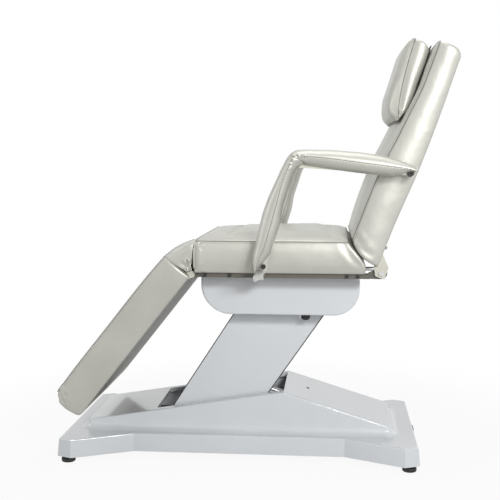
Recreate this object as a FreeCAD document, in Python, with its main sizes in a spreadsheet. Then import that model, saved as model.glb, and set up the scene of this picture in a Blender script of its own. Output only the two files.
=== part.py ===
import FreeCAD, Part
import math
import os
import re
import Sketcher

# Podiatry chair: a lift arm on a low base carries a level seat, a reclining back with
# linked armrests, a sliding head cushion and a hinged leg rest.
# Millimetres and degrees. +Z is up, the leg rest points to -X and the back to +X.
# The origin is on the floor, midway along and across the chair.

SIZES = {
    "Lift linkage": {
        "lift_pivot_x": -178.0,
        "lift_pivot_z": 88.0,
        "arm_length": 556.0,
        "arm_angle": 52.7,
        "lift_down": 4.0,
        "lift_up": 30.0,
        "link_offset": 58.0,
        "link_offset_angle": 28.0,
        "axle_radius": 15.0,
        "link_pin_radius": 8.0,
        "fit_clearance": 0.1,
        "axle_reach": 140.0,
    },
    "Base cover": {
        "base_mid_x": -50.0,
        "base_half_length": 552.0,
        "base_end_half_width": 272.0,
        "base_corner_x": 506.0,
        "base_half_width": 292.0,
        "waist_x": 328.0,
        "waist_half_width": 206.0,
        "skirt_bottom_z": 20.0,
        "skirt_height": 56.0,
        "skirt_draft": 5.0,
        "cover_wall": 4.0,
        "hump_front_x": -540.0,
        "hump_front_lean": 4.0,
        "hump_front_z": 104.0,
        "hump_peak_x": 88.0,
        "hump_peak_z": 205.0,
        "hump_rear_x": 424.0,
        "hump_rear_z": 101.0,
        "hump_rear_lean": 22.0,
        "hump_half_width": 155.0,
        "hump_side_fillet": 24.0,
        "hump_corner_round": 14.0,
        "ridge_round": 5.0,
        "slot_front_x": -318.0,
        "slot_rear_x": 88.0,
        "slot_half_width": 128.0,
        "lip_depth": 12.0,
        "lip_wall": 2.5,
    },
    "Base frame": {
        "frame_bottom_z": 26.0,
        "frame_height": 38.0,
        "rail_middle_y": 158.0,
        "rail_width": 44.0,
        "beam_outer_x": 540.0,
        "beam_width": 40.0,
        "beam_half_length": 265.0,
        "foot_x": 522.0,
        "foot_y": 256.0,
        "foot_radius": 21.5,
        "foot_height": 14.0,
        "foot_round": 4.0,
        "stud_radius": 6.0,
        "nut_radius": 10.0,
        "nut_height": 7.0,
        "bracket_thickness": 10.0,
        "bracket_inner_y": 126.0,
        "bracket_foot_half": 62.0,
        "bracket_head_radius": 30.0,
        "link_beam_half": 24.0,
        "link_beam_height": 18.0,
        "link_lug_y": 70.0,
        "link_lug_thickness": 6.0,
        "link_lug_radius": 15.0,
        "strap_half": 15.0,
        "strap_thickness": 5.0,
        "strap_leg_y": 142.0,
        "strap_x": 160.0,
        "screw_radius": 4.5,
        "screw_head_height": 1.5,
        "screw_shank_radius": 2.0,
        "inlet_half_width": 24.0,
        "inlet_half_height": 14.0,
        "inlet_z": 46.0,
        "inlet_depth": 17.0,
        "inlet_proud": 1.5,
        "inlet_well": 13.0,
        "inlet_rim": 3.0,
        "inlet_pin_radius": 2.0,
        "inlet_pin_pitch": 7.0,
        "notch_clearance": 3.0,
    },
    "Lift motor": {
        "crank_length": 150.0,
        "rod_tilt": 16.4,
        "crank_pin_radius": 8.0,
        "slot_clearance": 0.8,
        "rod_radius": 10.0,
        "rod_eye_half_width": 10.0,
        "rod_eye_margin": 9.0,
        "motor_reach": 458.0,
        "motor_tube_radius": 20.0,
        "motor_tube_length": 230.0,
        "motor_box_length": 66.0,
        "motor_box_half": 25.0,
        "motor_can_radius": 22.0,
        "motor_can_length": 95.0,
        "motor_can_offset": 46.0,
        "motor_eye_radius": 14.0,
        "motor_pin_radius": 7.0,
        "motor_lug_y": 14.0,
        "motor_lug_thickness": 6.0,
        "motor_eye_gap": 0.3,
        "rod_engagement": 20.0,
        "channel_spare": 10.0,
    },
    "Arm": {
        "panel_outer_y": 120.0,
        "panel_thickness": 4.0,
        "panel_low_rear": 40.0,
        "panel_low_front": -50.0,
        "panel_low_bend": 20.0,
        "panel_top_front": 75.0,
        "panel_top_rear": 20.0,
        "panel_front_low": 100.5,
        "panel_front_high": 140.0,
        "panel_rear_low": 114.0,
        "panel_rear_high": 90.5,
        "panel_corner_round": 10.0,
        "trim_depth": 3.0,
        "panel_axle_gap": 1.0,
        "trim_inner_y": 112.0,
        "trim_outer_y": 121.0,
        "front_cover_start": -15.0,
        "front_cover_end": 90.0,
        "rear_cover_start": 230.0,
        "rear_cover_end": 44.0,
        "arm_cover_thickness": 3.0,
        "arm_cover_inset": 8.0,
        "arm_plate_outer_y": 100.0,
        "arm_plate_thickness": 8.0,
        "arm_plate_half": 48.0,
        "arm_plate_end_radius": 38.0,
        "arm_tube_radius": 15.0,
        "arm_tube_offset": 16.0,
        "arm_tube_one": 290.0,
        "arm_tube_two": 430.0,
        "standoff_radius": 8.0,
        "standoff_low": 75.0,
        "standoff_middle": 280.0,
        "standoff_high": 455.0,
        "link_bar_y": 61.0,
        "link_bar_thickness": 12.0,
        "link_bar_half": 11.0,
        "link_end_radius": 15.0,
    },
    "Seat frame and housing": {
        "rail_top_z": 594.5,
        "rail_depth": 13.5,
        "seat_rail_width": 30.0,
        "seat_rail_front_x": -150.0,
        "seat_rail_rear_x": 345.0,
        "crossbar_half": 18.0,
        "crossbar_front_x": -120.0,
        "crossbar_rear_x": 262.0,
        "hinge_lug_inset": 10.0,
        "hinge_lug_thickness": 8.0,
        "hinge_lug_start": 36.0,
        "hinge_lug_top_z": 591.5,
        "back_lug_radius": 18.0,
        "back_lug_rise_x": 342.0,
        "leg_lug_radius": 11.0,
        "crossbar_middle_x": 43.0,
        "back_pivot_x": 379.5,
        "back_pivot_z": 598.0,
        "leg_pivot_x": -183.0,
        "leg_pivot_z": 588.0,
        "seat_lug_inner_y": 126.0,
        "seat_lug_thickness": 8.0,
        "seat_lug_half": 34.0,
        "seat_lug_radius": 26.0,
        "housing_front_x": -163.0,
        "housing_rear_x": 320.0,
        "housing_bottom_z": 457.0,
        "housing_half_width": 200.0,
        "housing_wall": 4.0,
        "housing_front_radius": 92.0,
        "housing_rear_radius": 80.0,
        "housing_edge_round": 6.0,
        "housing_slot_front_x": -86.0,
        "housing_slot_rear_x": 264.0,
        "rod_slot_half": 10.0,
        "rod_slot_depth": 36.0,
        "crank_slot_half": 21.0,
        "crank_slot_depth": 78.0,
        "control_front_x": -50.0,
        "control_length": 170.0,
        "control_outer_y": 190.0,
        "control_width": 48.0,
        "control_height": 70.0,
        "control_round": 6.0,
        "bumper_x": 156.0,
        "bumper_y": 160.0,
        "bumper_half": 14.0,
        "bumper_height": 20.0,
        "bumper_round": 9.0,
        "bumper_tab_half": 6.0,
        "bumper_tab_drop": 14.0,
        "bumper_tab_thickness": 3.0,
        "seat_bolt_radius": 5.5,
        "seat_bolt_height": 5.0,
        "seat_bolt_front_x": -140.0,
        "seat_bolt_second_x": -66.0,
        "seat_bolt_third_x": 279.0,
        "seat_bolt_rear_x": 311.0,
    },
    "Side drives": {
        "drive_y": 162.0,
        "drive_rod_radius": 7.0,
        "drive_eye_half": 6.0,
        "drive_eye_margin": 6.0,
        "drive_pin_radius": 6.0,
        "drive_crank_thickness": 8.0,
        "drive_crank_gap": 2.0,
        "drive_crank_width": 9.0,
        "drive_tube_radius": 15.0,
        "drive_box_half": 19.0,
        "drive_can_radius": 17.0,
        "drive_can_drop": 38.0,
        "drive_can_length": 92.0,
        "drive_box_length": 34.0,
        "drive_mount_half": 8.0,
        "back_crank": 42.0,
        "back_range": 68.0,
        "back_tube_rear_x": 290.0,
        "back_box_x": 130.0,
        "leg_crank": 60.0,
        "leg_range": 51.7,
        "leg_tube_front_x": -110.0,
        "leg_box_x": 26.0,
    },
    "Cushions": {
        "cushion_half_width": 296.0,
        "side_bulge": 4.0,
        "border_width": 62.0,
        "groove_width": 6.0,
        "groove_depth": 3.0,
        "crown_room": 40.0,
        "board_thickness": 12.0,
        "board_inset": 13.0,
        "frame_inset": 3.0,
    },
    "Seat cushion": {
        "seat_bottom_z": 595.0,
        "seat_front_x": -172.0,
        "seat_front_bulge_x": -176.5,
        "seat_front_bulge_z": 640.0,
        "seat_front_top_x": -170.0,
        "seat_front_top_z": 684.0,
        "seat_front_round_x": -165.5,
        "seat_front_round_z": 692.0,
        "seat_front_end_x": -155.0,
        "seat_front_end_z": 698.0,
        "seat_rear_top_x": 284.0,
        "seat_rear_top_z": 688.0,
        "seat_rear_bend_x": 309.0,
        "seat_rear_bend_z": 657.0,
        "seat_rear_waist_x": 325.0,
        "seat_rear_waist_z": 634.0,
        "seat_rear_x": 335.0,
        "seat_rear_z": 622.0,
        "seat_rear_arc_x": 336.0,
        "seat_rear_arc_z": 608.0,
        "seat_rear_low_x": 330.0,
        "seat_channel_half": 3.0,
        "seat_board_front_x": -158.0,
        "seat_board_rear_x": 312.0,
    },
    "Back": {
        "back_tilt": 20.8,
        "back_hem": 66.0,
        "back_hem_front": 115.0,
        "back_hem_bend": 47.0,
        "back_hem_bend_front": 103.0,
        "back_heel": 22.0,
        "back_heel_front": 64.0,
        "back_heel_low": 14.0,
        "back_heel_low_front": 24.5,
        "back_heel_rear": 19.0,
        "back_rear_low": 46.0,
        "back_rear_low_depth": 17.0,
        "back_rear_bend": 147.0,
        "back_rear_middle": 311.0,
        "back_rear_middle_depth": 11.0,
        "back_rear_high": 397.0,
        "back_rear_top": 670.0,
        "back_rear_top_depth": 20.0,
        "back_top": 677.0,
        "back_top_front": 91.0,
        "back_recess_depth": 58.0,
        "back_recess_top": 640.0,
        "back_board_low": 60.0,
        "back_frame_thickness": 8.0,
        "back_bar_rear": 22.0,
        "back_bar_low": 60.0,
        "back_plate_rear": 14.0,
        "back_plate_low": 14.0,
        "back_cross_low": 150.0,
        "back_cross_high": 590.0,
        "back_cross_half": 12.0,
        "torsion_radius": 12.0,
        "back_panel_thickness": 3.0,
        "back_panel_low": 60.0,
        "loop_low": 528.0,
        "loop_high": 672.0,
        "loop_half_width": 180.0,
        "loop_rear": 102.3,
        "loop_thickness": 2.3,
        "cap_radius": 7.5,
        "cap_height": 4.0,
        "back_button": 77.0,
        "back_button_y": -240.0,
        "back_button_radius": 5.0,
        "back_button_height": 4.0,
    },
    "Head cushion": {
        "head_rear": 107.5,
        "head_half_width": 218.0,
        "head_border": 30.0,
        "head_low": 412.0,
        "head_low_front": 143.0,
        "head_tuck": 434.0,
        "head_tuck_rear": 117.5,
        "head_straight": 490.0,
        "head_top_bend": 656.0,
        "head_high": 668.0,
        "head_top_rear": 115.0,
        "hook_low": 520.0,
        "hook_high": 650.0,
        "hook_rear": 104.9,
        "hook_thickness": 2.3,
    },
    "Leg rest": {
        "leg_angle": 51.7,
        "leg_start": 4.0,
        "leg_start_top": 3.0,
        "leg_start_seam": 95.0,
        "leg_under": 2.0,
        "leg_bend": 501.0,
        "leg_bend_height": 109.0,
        "leg_slope": 538.0,
        "leg_slope_height": 98.0,
        "leg_tip": 559.0,
        "leg_tip_height": 81.0,
        "leg_tip_low": 7.0,
        "leg_end": 552.0,
        "leg_recess": 20.0,
        "leg_recess_end": 520.0,
        "leg_bar_top": 19.0,
        "leg_bar_low": 1.0,
        "leg_bar_end": 480.0,
        "leg_cross_one": 120.0,
        "leg_cross_two": 430.0,
        "leg_cross_half": 12.0,
        "leg_plate_radius": 12.0,
        "leg_torsion_radius": 8.0,
        "leg_panel_start": 20.0,
        "leg_panel_thickness": 3.0,
    },
    "Knee flap": {
        "flap_inset": 11.0,
        "flap_thickness": 3.0,
        "flap_lean": 38.0,
        "flap_start_x": -257.5,
        "flap_start_z": 645.5,
        "flap_low_x": -227.0,
        "flap_low_z": 659.0,
        "flap_middle_x": -211.0,
        "flap_middle_z": 676.0,
        "flap_high_x": -188.0,
        "flap_high_z": 694.0,
        "flap_top_x": -165.0,
        "flap_top_z": 702.5,
        "flap_end_x": -155.0,
        "flap_end_z": 699.5,
    },
    "Armrests": {
        "rest_gap": 12.0,
        "rest_width": 70.0,
        "rest_pivot_x": 452.6,
        "rest_pivot_z": 890.2,
        "strut_pivot_x": 39.0,
        "strut_pivot_z": 622.0,
        "strut_half": 24.0,
        "knuckle_gap": 1.5,
        "pad_nose_angle": 109.0,
        "pad_nose_x": 118.0,
        "pad_nose_z": 954.5,
        "pad_middle_x": 284.0,
        "pad_middle_z": 951.0,
        "pad_rear_x": 424.0,
        "pad_rear_z": 920.0,
        "pad_tip_x": 462.0,
        "pad_tip_z": 902.0,
        "pad_heel_x": 446.0,
        "pad_heel_z": 881.0,
        "pad_under_x": 354.0,
        "pad_under_z": 885.0,
        "pad_elbow_x": 160.0,
        "pad_elbow_z": 916.0,
        "pad_side_round": 10.0,
        "strut_side_round": 6.0,
        "strut_low_x": 3.5,
        "strut_low_z": 634.0,
        "strut_tip_x": 16.0,
        "strut_tip_z": 600.0,
        "strut_foot_x": 33.0,
        "strut_foot_z": 615.0,
        "strut_heel_x": 56.0,
        "strut_heel_z": 650.0,
        "strut_back_x": 70.0,
        "strut_back_z": 690.0,
        "strut_shoulder_x": 150.0,
        "strut_shoulder_z": 905.0,
        "strut_left_angle": 166.0,
        "core_thickness": 8.0,
        "core_gap": 1.5,
        "core_half": 6.0,
        "core_eye_radius": 12.0,
        "core_fit": 0.5,
        "rest_bolt_radius": 6.0,
        "elbow_pin_radius": 6.0,
        "open_clearance": 0.6,
        "rest_cap_radius": 9.0,
        "rest_cap_height": 7.0,
        "bracket_gap": 2.0,
        "bracket_plate_thickness": 5.0,
        "bracket_front_x": 10.0,
        "bracket_bar_rear_x": 36.0,
        "bracket_rear_x": 54.0,
        "bracket_bar_low_z": 578.0,
        "bracket_bar_high_z": 590.0,
        "bracket_foot_thickness": 6.0,
        "bracket_foot_reach": 10.0,
        "bracket_plate_top": 648.0,
        "bracket_plate_front": 26.0,
        "bracket_knee_x": 47.0,
        "bracket_knee_z": 606.0,
        "bracket_low_x": 24.0,
        "bracket_tip_x": 9.5,
        "bracket_tip_z": 570.5,
        "bracket_nose_x": 5.0,
        "bracket_nose_z": 584.0,
        "knob_radius": 7.0,
        "knob_height": 8.0,
    },
    "Shared": {
        "overrun": 20.0,
        "soft_gap": 0.3,
        "edge_tolerance": 1.0,
    },
}

# Cross-sections of the cushions: how far along, the seam's height, and how far the border
# and the crown rise over the seam.
STATIONS = {
    "seat": {
        "front": (-178.0, 690.0, 2.0, 3.5),
        "knee": (-120.0, 690.0, 8.0, 11.0),
        "thigh": (-82.0, 690.0, 10.0, 14.0),
        "middle": (80.0, 690.0, 15.0, 20.0),
        "hip": (223.0, 690.0, 15.0, 19.0),
        "rear": (300.0, 690.0, 8.0, 10.0),
        "tail": (338.0, 690.0, 2.0, 3.0),
    },
    "back": {
        "hem": (56.0, 115.0, 2.0, 3.0),
        "lumbar": (110.0, 115.0, 8.0, 10.0),
        "waist": (262.0, 115.0, 11.0, 14.0),
        "rib": (322.0, 109.0, 11.0, 14.0),
        "chest": (367.0, 103.0, 11.0, 14.0),
        "blade": (428.0, 99.5, 10.0, 13.0),
        "shoulder": (479.0, 93.0, 9.0, 11.5),
        "neck": (527.0, 87.0, 9.0, 15.0),
        "nape": (590.0, 87.0, 9.0, 15.0),
        "crest": (650.0, 89.5, 8.0, 12.5),
        "top": (682.0, 91.0, 2.0, 3.0),
    },
    "head": {
        "bottom": (410.0, 135.0, 6.0, 9.0),
        "roll": (466.0, 138.0, 24.0, 42.0),
        "face": (552.0, 145.0, 22.0, 36.0),
        "brow": (637.0, 150.0, 14.0, 23.0),
        "ridge": (672.0, 152.0, 4.0, 6.0),
    },
    "leg": {
        "knee": (1.0, 95.0, 2.0, 3.0),
        "shin": (60.0, 97.0, 5.0, 7.0),
        "calf": (300.0, 99.0, 6.0, 9.0),
        "ankle": (500.0, 99.0, 5.0, 7.0),
        "toe": (562.0, 92.0, 2.0, 3.0),
    },
}
for cushion, sections in STATIONS.items():
    SIZES[cushion + " cross-sections"] = {
        f"{cushion}_{name}_{part}": value
        for name, values in sections.items()
        for part, value in zip(("along", "seam", "border", "crown"), values)
    }

# Worked-out places, each from the sizes above.
PLACES = {
    "board_half_width": "cushion_half_width - board_inset",
    "recess_half_width": "board_half_width + soft_gap",
    "rail_outer_y": "board_half_width - frame_inset",
    "back_frame_outer_y": "board_half_width - frame_inset",
    "hinge_lug_outer_y": "rail_outer_y - hinge_lug_inset",
    "flap_half_width": "cushion_half_width - flap_inset",
    "rest_inner_y": "cushion_half_width + rest_gap",
    "rest_outer_y": "rest_inner_y + rest_width",
    "core_y": "(rest_inner_y + rest_outer_y) / 2",
    "bracket_outer_y": "rest_inner_y - bracket_gap",
    "bracket_plate_y": "bracket_outer_y - bracket_plate_thickness",
    "strut_core_outer_y": "core_y - core_gap / 2",
    "pad_core_outer_y": "core_y + core_gap / 2 + core_thickness",
    "back_panel_rise": "back_bar_rear - back_panel_thickness - back_rear_middle_depth",
    "back_panel_slope": "(back_recess_top - back_rear_high) / (back_rear_top_depth - back_rear_middle_depth)",
    "back_bar_top": "back_rear_high + back_panel_rise * back_panel_slope - 2 * soft_gap",
    "panel_front_length": "arm_length - panel_top_front - panel_low_front",
    "panel_rear_length": "arm_length - panel_top_rear - panel_low_rear",
    "panel_front_rise": "(panel_front_high - panel_front_low) / panel_front_length",
    "panel_rear_rise": "(panel_rear_high - panel_rear_low) / panel_rear_length",
    "seat_pivot_x": "lift_pivot_x + arm_length * cos(arm_angle)",
    "seat_pivot_z": "lift_pivot_z + arm_length * sin(arm_angle)",
    "link_shift_x": "link_offset * cos(link_offset_angle)",
    "link_shift_z": "-link_offset * sin(link_offset_angle)",
    "crank_angle": "90 - rod_tilt - (lift_up - lift_down) / 2",
    "crank_swing": "(lift_up + lift_down) / 2",
    "crank_along": "crank_length * cos(crank_angle - arm_angle)",
    "crank_across": "crank_length * sin(crank_angle - arm_angle)",
    "crank_pin_x": "lift_pivot_x + crank_length * cos(crank_angle)",
    "crank_pin_z": "lift_pivot_z + crank_length * sin(crank_angle)",
    "skirt_top_z": "skirt_bottom_z + skirt_height",
    "front_slope": "(hump_peak_z - hump_front_z) / (hump_peak_x - hump_front_x - hump_front_lean)",
    "rear_slope": "(hump_peak_z - hump_rear_z) / (hump_rear_x - hump_peak_x)",
    "frame_top_z": "frame_bottom_z + frame_height",
    "rail_bottom_z": "rail_top_z - rail_depth",
    "housing_top_z": "rail_top_z - rail_depth",
    "elbow_x": "strut_pivot_x + rest_pivot_x - back_pivot_x",
    "elbow_z": "strut_pivot_z + rest_pivot_z - back_pivot_z",
    "back_drive_z": "back_pivot_z - back_crank * (1 + cos(back_range / 2)) / 2",
    "leg_drive_z": "leg_pivot_z - leg_crank * (1 + cos(leg_range / 2)) / 2",
    "lift_travel": "crank_length * (sin(crank_swing) + sin((lift_up - lift_down) / 2))",
    "back_travel": "2 * back_crank * sin(back_range / 2)",
    "leg_travel": "2 * leg_crank * sin(leg_range / 2)",
    "link_top_x": "seat_pivot_x + link_shift_x",
    "link_top_z": "seat_pivot_z + link_shift_z",
    "rail_inner_y": "rail_outer_y - seat_rail_width",
    "strut_lean": "atan((rest_pivot_z - back_pivot_z) / (rest_pivot_x - back_pivot_x))",
    "pad_lean": "atan((elbow_z - rest_pivot_z) / (rest_pivot_x - elbow_x))",
}

doc = FreeCAD.newDocument("PodiatryChair")
sheet = doc.addObject("Spreadsheet::Sheet", "Sizes")
owner = {}
row = 0
for title, entries in SIZES.items():
    row += 1
    sheet.set(f"A{row}", title)
    for alias, value in entries.items():
        row += 1
        sheet.set(f"A{row}", alias)
        sheet.set(f"B{row}", str(value))
        sheet.setAlias(f"B{row}", alias)
        owner[alias] = "Sizes."
doc.recompute()

places = doc.addObject("App::VarSet", "Places")


def full(text):
    """Write a sum of named sizes with the objects that hold them."""
    return re.sub(r"[a-z][a-z_]*[a-z]", lambda word: owner.get(word.group(), "") + word.group(), text)


for alias, text in PLACES.items():
    places.addProperty("App::PropertyFloat", alias)
    places.setExpression(alias, full(text))
    doc.recompute()
    owner[alias] = "Places."


def number(text):
    """The present value of a sum of named sizes."""
    return float(sheet.evalExpression(full(text)))


nodes = {}


def node(label, thing):
    """Name a finished sub-part."""
    thing.Label = label
    nodes[label] = thing
    return thing


def place_text(x, y, z, turn="0"):
    """A placement at a point, turned about the Y axis."""
    return full(f"placement(vector({x}; {y}; {z}); rotation(vector(0; 1; 0); {turn}))")


ARM = ("lift_pivot_x", "lift_pivot_z", "-arm_angle")
BACK = ("back_pivot_x", "back_pivot_z", "back_tilt")
LEG = ("leg_pivot_x", "leg_pivot_z", "-leg_angle")
WORLD = ("0", "0", "0")
SIDES = ((-1, "left"), (1, "right"))
BORDER_SWELL_SHARE = 0.7


def plane(body, role):
    """An origin plane of a body."""
    return [feature for feature in body.Origin.OriginFeatures if feature.Role == role][0]


def pin(sketch, geometry, point, place):
    """Hold a point of a sketch at a place given in named sizes."""
    for kind, text in (("DistanceX", place[0]), ("DistanceY", place[1])):
        constraint = Sketcher.Constraint(kind, -1, 1, geometry, point, number(text))
        index = sketch.addConstraint(constraint)
        sketch.setExpression(f"Constraints[{index}]", full(text))


def vector(place):
    """A sketch point from a place given in named sizes."""
    return FreeCAD.Vector(number(place[0]), number(place[1]), 0)


def draw(sketch, path):
    """Draw a closed outline: corners, and points marked round that an arc passes through."""
    corners = [index for index, place in enumerate(path) if len(place) == 2]
    edges = []
    for order, index in enumerate(corners):
        following = corners[(order + 1) % len(corners)]
        between = (index + 1) % len(path)
        start = vector(path[index])
        end = vector(path[following])
        if between == following:
            edge = sketch.addGeometry(Part.LineSegment(start, end), False)
            edges.append((edge, 1, 2))
        else:
            middle = vector(path[between])
            edge = sketch.addGeometry(Part.Arc(start, middle, end), False)
            forward = (sketch.getPoint(edge, 1) - start).Length < (sketch.getPoint(edge, 2) - start).Length
            edges.append((edge, 1, 2) if forward else (edge, 2, 1))
            mark = sketch.addGeometry(Part.Point(middle), True)
            sketch.addConstraint(Sketcher.Constraint("PointOnObject", mark, 1, edge))
            pin(sketch, mark, 1, path[between])
        pin(sketch, edges[-1][0], edges[-1][1], path[index])
    for order, (edge, _, last) in enumerate(edges):
        other, first, _ = edges[(order + 1) % len(edges)]
        sketch.addConstraint(Sketcher.Constraint("Coincident", edge, last, other, first))


def ring(sketch, x, z, radius):
    """Draw a circle in a sketch."""
    circle = Part.Circle(vector((x, z)), FreeCAD.Vector(0, 0, 1), number(radius))
    edge = sketch.addGeometry(circle, False)
    pin(sketch, edge, 3, (x, z))
    index = sketch.addConstraint(Sketcher.Constraint("Radius", edge, number(radius)))
    sketch.setExpression(f"Constraints[{index}]", full(radius))


def new_sketch(body, name, role):
    """A sketch on an origin plane of its own body."""
    sketch = body.newObject("Sketcher::SketchObject", name)
    sketch.AttachmentSupport = [(plane(body, role), "")]
    sketch.MapMode = "FlatFace"
    return sketch


def prism(name, frame, middle, thickness, path=None, discs=(), holes=()):
    """A plate or bar: an outline in the side plane, padded equally both ways from its middle."""
    body = doc.addObject("PartDesign::Body", name)
    sketch = new_sketch(body, name + "_outline", "XZ_Plane")
    if path:
        draw(sketch, path)
    for x, z, radius in list(discs) + list(holes):
        ring(sketch, x, z, radius)
    pad = body.newObject("PartDesign::Pad", name + "_pad")
    pad.Profile = sketch
    pad.Midplane = True
    pad.setExpression("Length", full(thickness))
    body.setExpression("Placement", place_text(frame[0], middle, frame[1], frame[2]))
    return body


def plan_prism(name, bottom, height, path, holes=(), draft=None):
    """A piece drawn in plan and padded upwards."""
    body = doc.addObject("PartDesign::Body", name)
    sketch = new_sketch(body, name + "_outline", "XY_Plane")
    draw(sketch, path)
    for x, y, radius in holes:
        ring(sketch, x, y, radius)
    pad = body.newObject("PartDesign::Pad", name + "_pad")
    pad.Profile = sketch
    pad.setExpression("Length", full(height))
    if draft:
        pad.setExpression("TaperAngle", full(draft))
    body.setExpression("Placement", place_text("0", "0", bottom))
    return body


def box(name, x, y, z, length, width, height):
    """A block from its low corner."""
    block = doc.addObject("Part::Box", name)
    block.setExpression("Length", full(length))
    block.setExpression("Width", full(width))
    block.setExpression("Height", full(height))
    block.setExpression("Placement", place_text(x, y, z))
    return block


def upright(name, radius, x, y, z, height):
    """A cylinder that stands."""
    cylinder = doc.addObject("Part::Cylinder", name)
    cylinder.setExpression("Radius", full(radius))
    cylinder.setExpression("Height", full(height))
    cylinder.setExpression("Placement", place_text(x, y, z))
    return cylinder


def crosswise(name, radius, x, z, low_y, length, frame=WORLD):
    """A cylinder that lies across the chair."""
    return prism(name, frame, f"{low_y} + ({length}) / 2", length, discs=[(x, z, radius)])


def lengthwise(name, radius, x, y, z, length, turn="0"):
    """A cylinder that lies along the chair, turned up or down about the Y axis."""
    cylinder = doc.addObject("Part::Cylinder", name)
    cylinder.setExpression("Radius", full(radius))
    cylinder.setExpression("Height", full(length))
    cylinder.setExpression("Placement", place_text(x, y, z, f"90 + {turn}"))
    return cylinder


def fuse(name, pieces):
    """One welded or moulded piece from several."""
    joined = doc.addObject("Part::MultiFuse", name)
    joined.Shapes = pieces
    joined.Refine = True
    return joined


def cut(name, base, *tools):
    """A piece with others cut from it."""
    for order, tool in enumerate(tools):
        result = doc.addObject("Part::Cut", f"{name}_{order}")
        result.Base = base
        result.Tool = tool
        base = result
    return base


def common(name, one, two):
    """What two pieces share."""
    shared = doc.addObject("Part::MultiCommon", name)
    shared.Shapes = [one, two]
    return shared


def group(name, pieces):
    """Like pieces that stay apart and share a node."""
    together = doc.addObject("Part::Compound", name)
    together.Links = pieces
    return together


def rounded(name, base, radius, wanted):
    """Fillet the edges of a piece that a test picks out."""
    doc.recompute()
    fillet = doc.addObject("Part::Fillet", name)
    fillet.Base = base
    size = number(radius)
    picked = [index + 1 for index, edge in enumerate(base.Shape.Edges) if wanted(edge)]
    fillet.Edges = [(index, size, size) for index in picked]
    doc.recompute()
    return fillet


def box_path(low_x, low_z, high_x, high_z):
    """A rectangle's corners."""
    return [(low_x, low_z), (high_x, low_z), (high_x, high_z), (low_x, high_z)]


def base_cover():
    """The moulded cover: a dog-bone skirt with a roof-shaped hump, hollow, with a slot for the arm."""
    shells = []
    for name, wall in (("cover_outside", "0"), ("cover_inside", "cover_wall")):
        right = []
        for x, y in (
            ("base_half_length", "base_end_half_width"),
            ("base_corner_x", "base_half_width"),
            ("waist_x", "waist_half_width"),
        ):
            right.append((f"{x} - {wall}", f"{y} - {wall}"))
        quarter = [(f"base_mid_x + {x}", y) for x, y in right]
        left = [(f"base_mid_x - ({x})", y) for x, y in right]
        upper = quarter + left[::-1]
        outline = upper + [(x, f"-({y})") for x, y in upper[::-1]]
        inside = wall != "0"
        height = "skirt_height - cover_wall" if inside else "skirt_height"
        skirt = plan_prism(name + "_skirt", "skirt_bottom_z", height, outline, draft="-skirt_draft")
        foot = "skirt_top_z - 2 * cover_wall"
        hump = prism(
            name + "_hump",
            WORLD,
            "0",
            f"2 * (hump_half_width - {wall})",
            [
                (f"hump_front_x + {wall}", foot),
                (f"hump_front_x + hump_front_lean + {wall}", f"hump_front_z - {wall}"),
                ("hump_peak_x", f"hump_peak_z - {wall}"),
                (f"hump_rear_x - {wall} / 2", f"hump_rear_z - {wall}"),
                (f"hump_rear_x + hump_rear_lean - {wall}", foot),
            ],
        )
        shell = fuse(name, [skirt, hump])
        if not inside:
            top = number("skirt_top_z")
            half = number("hump_half_width")
            near = number("edge_tolerance")
            wall_width = number("cover_wall")
            spread = number("2 * (hump_half_width + hump_side_fillet) + cover_wall")

            def is_side_foot(edge):
                reach = edge.BoundBox
                low = abs(reach.ZMin - top) < near and abs(reach.ZMax - top) < near
                return low and abs(abs(reach.YMin) - half) < near and abs(abs(reach.YMax) - half) < near

            def is_hump_corner(edge):
                reach = edge.BoundBox
                upright_edge = reach.YLength < near and reach.ZMin > top - near and reach.ZLength > near
                return upright_edge and reach.XLength < reach.ZLength

            def is_top_edge(edge):
                reach = edge.BoundBox
                long_edge = reach.XLength > reach.ZLength > 2 * wall_width and reach.YLength < near
                ridge = reach.ZMin > top + near and long_edge
                rim = abs(reach.ZMin - top) < near and abs(reach.ZMax - top) < near
                return ridge or (rim and abs(reach.YMax) + abs(reach.YMin) > spread)

            shell = rounded("cover_corners", shell, "hump_corner_round", is_hump_corner)
            shell = rounded("cover_feet", shell, "hump_side_fillet", is_side_foot)
            shell = rounded("cover_ridges", shell, "ridge_round", is_top_edge)
        shells.append(shell)
    window_path = []
    lip_path = []
    for sign_x, sign_y in ((1, 1), (-1, 1), (-1, -1), (1, -1)):
        edge_x = "slot_rear_x" if sign_x > 0 else "slot_front_x"
        window_path.append((edge_x, f"{sign_y} * slot_half_width"))
        lip_path.append((f"{edge_x} + {sign_x} * lip_wall", f"{sign_y} * (slot_half_width + lip_wall)"))
    window = plan_prism("cover_window", "skirt_top_z", "hump_peak_z", window_path)
    rim = plan_prism("cover_rim", "skirt_top_z", "hump_peak_z", lip_path)
    band = prism(
        "cover_rim_band",
        WORLD,
        "0",
        "2 * hump_half_width",
        [
            ("hump_front_x", "hump_front_z - lip_depth - cover_wall / 2"),
            ("hump_peak_x", "hump_peak_z - lip_depth - cover_wall / 2"),
            ("hump_rear_x", "hump_rear_z - lip_depth - cover_wall / 2"),
            ("hump_rear_x", "hump_rear_z - cover_wall / 2"),
            ("hump_peak_x", "hump_peak_z - cover_wall / 2"),
            ("hump_front_x", "hump_front_z - cover_wall / 2"),
        ],
    )
    lip = common("cover_lip", rim, band)
    hollow = cut("cover_hollow", shells[0], shells[1])
    inlet_hole = box(
        "cover_inlet_hole",
        "base_mid_x + base_half_length - inlet_depth",
        "-inlet_half_width",
        "inlet_z - inlet_half_height",
        "inlet_depth + overrun",
        "2 * inlet_half_width",
        "2 * inlet_half_height",
    )
    whole = fuse("cover_whole", [hollow, lip])
    return node("base_cover", cut("cover", whole, window, inlet_hole))


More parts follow.
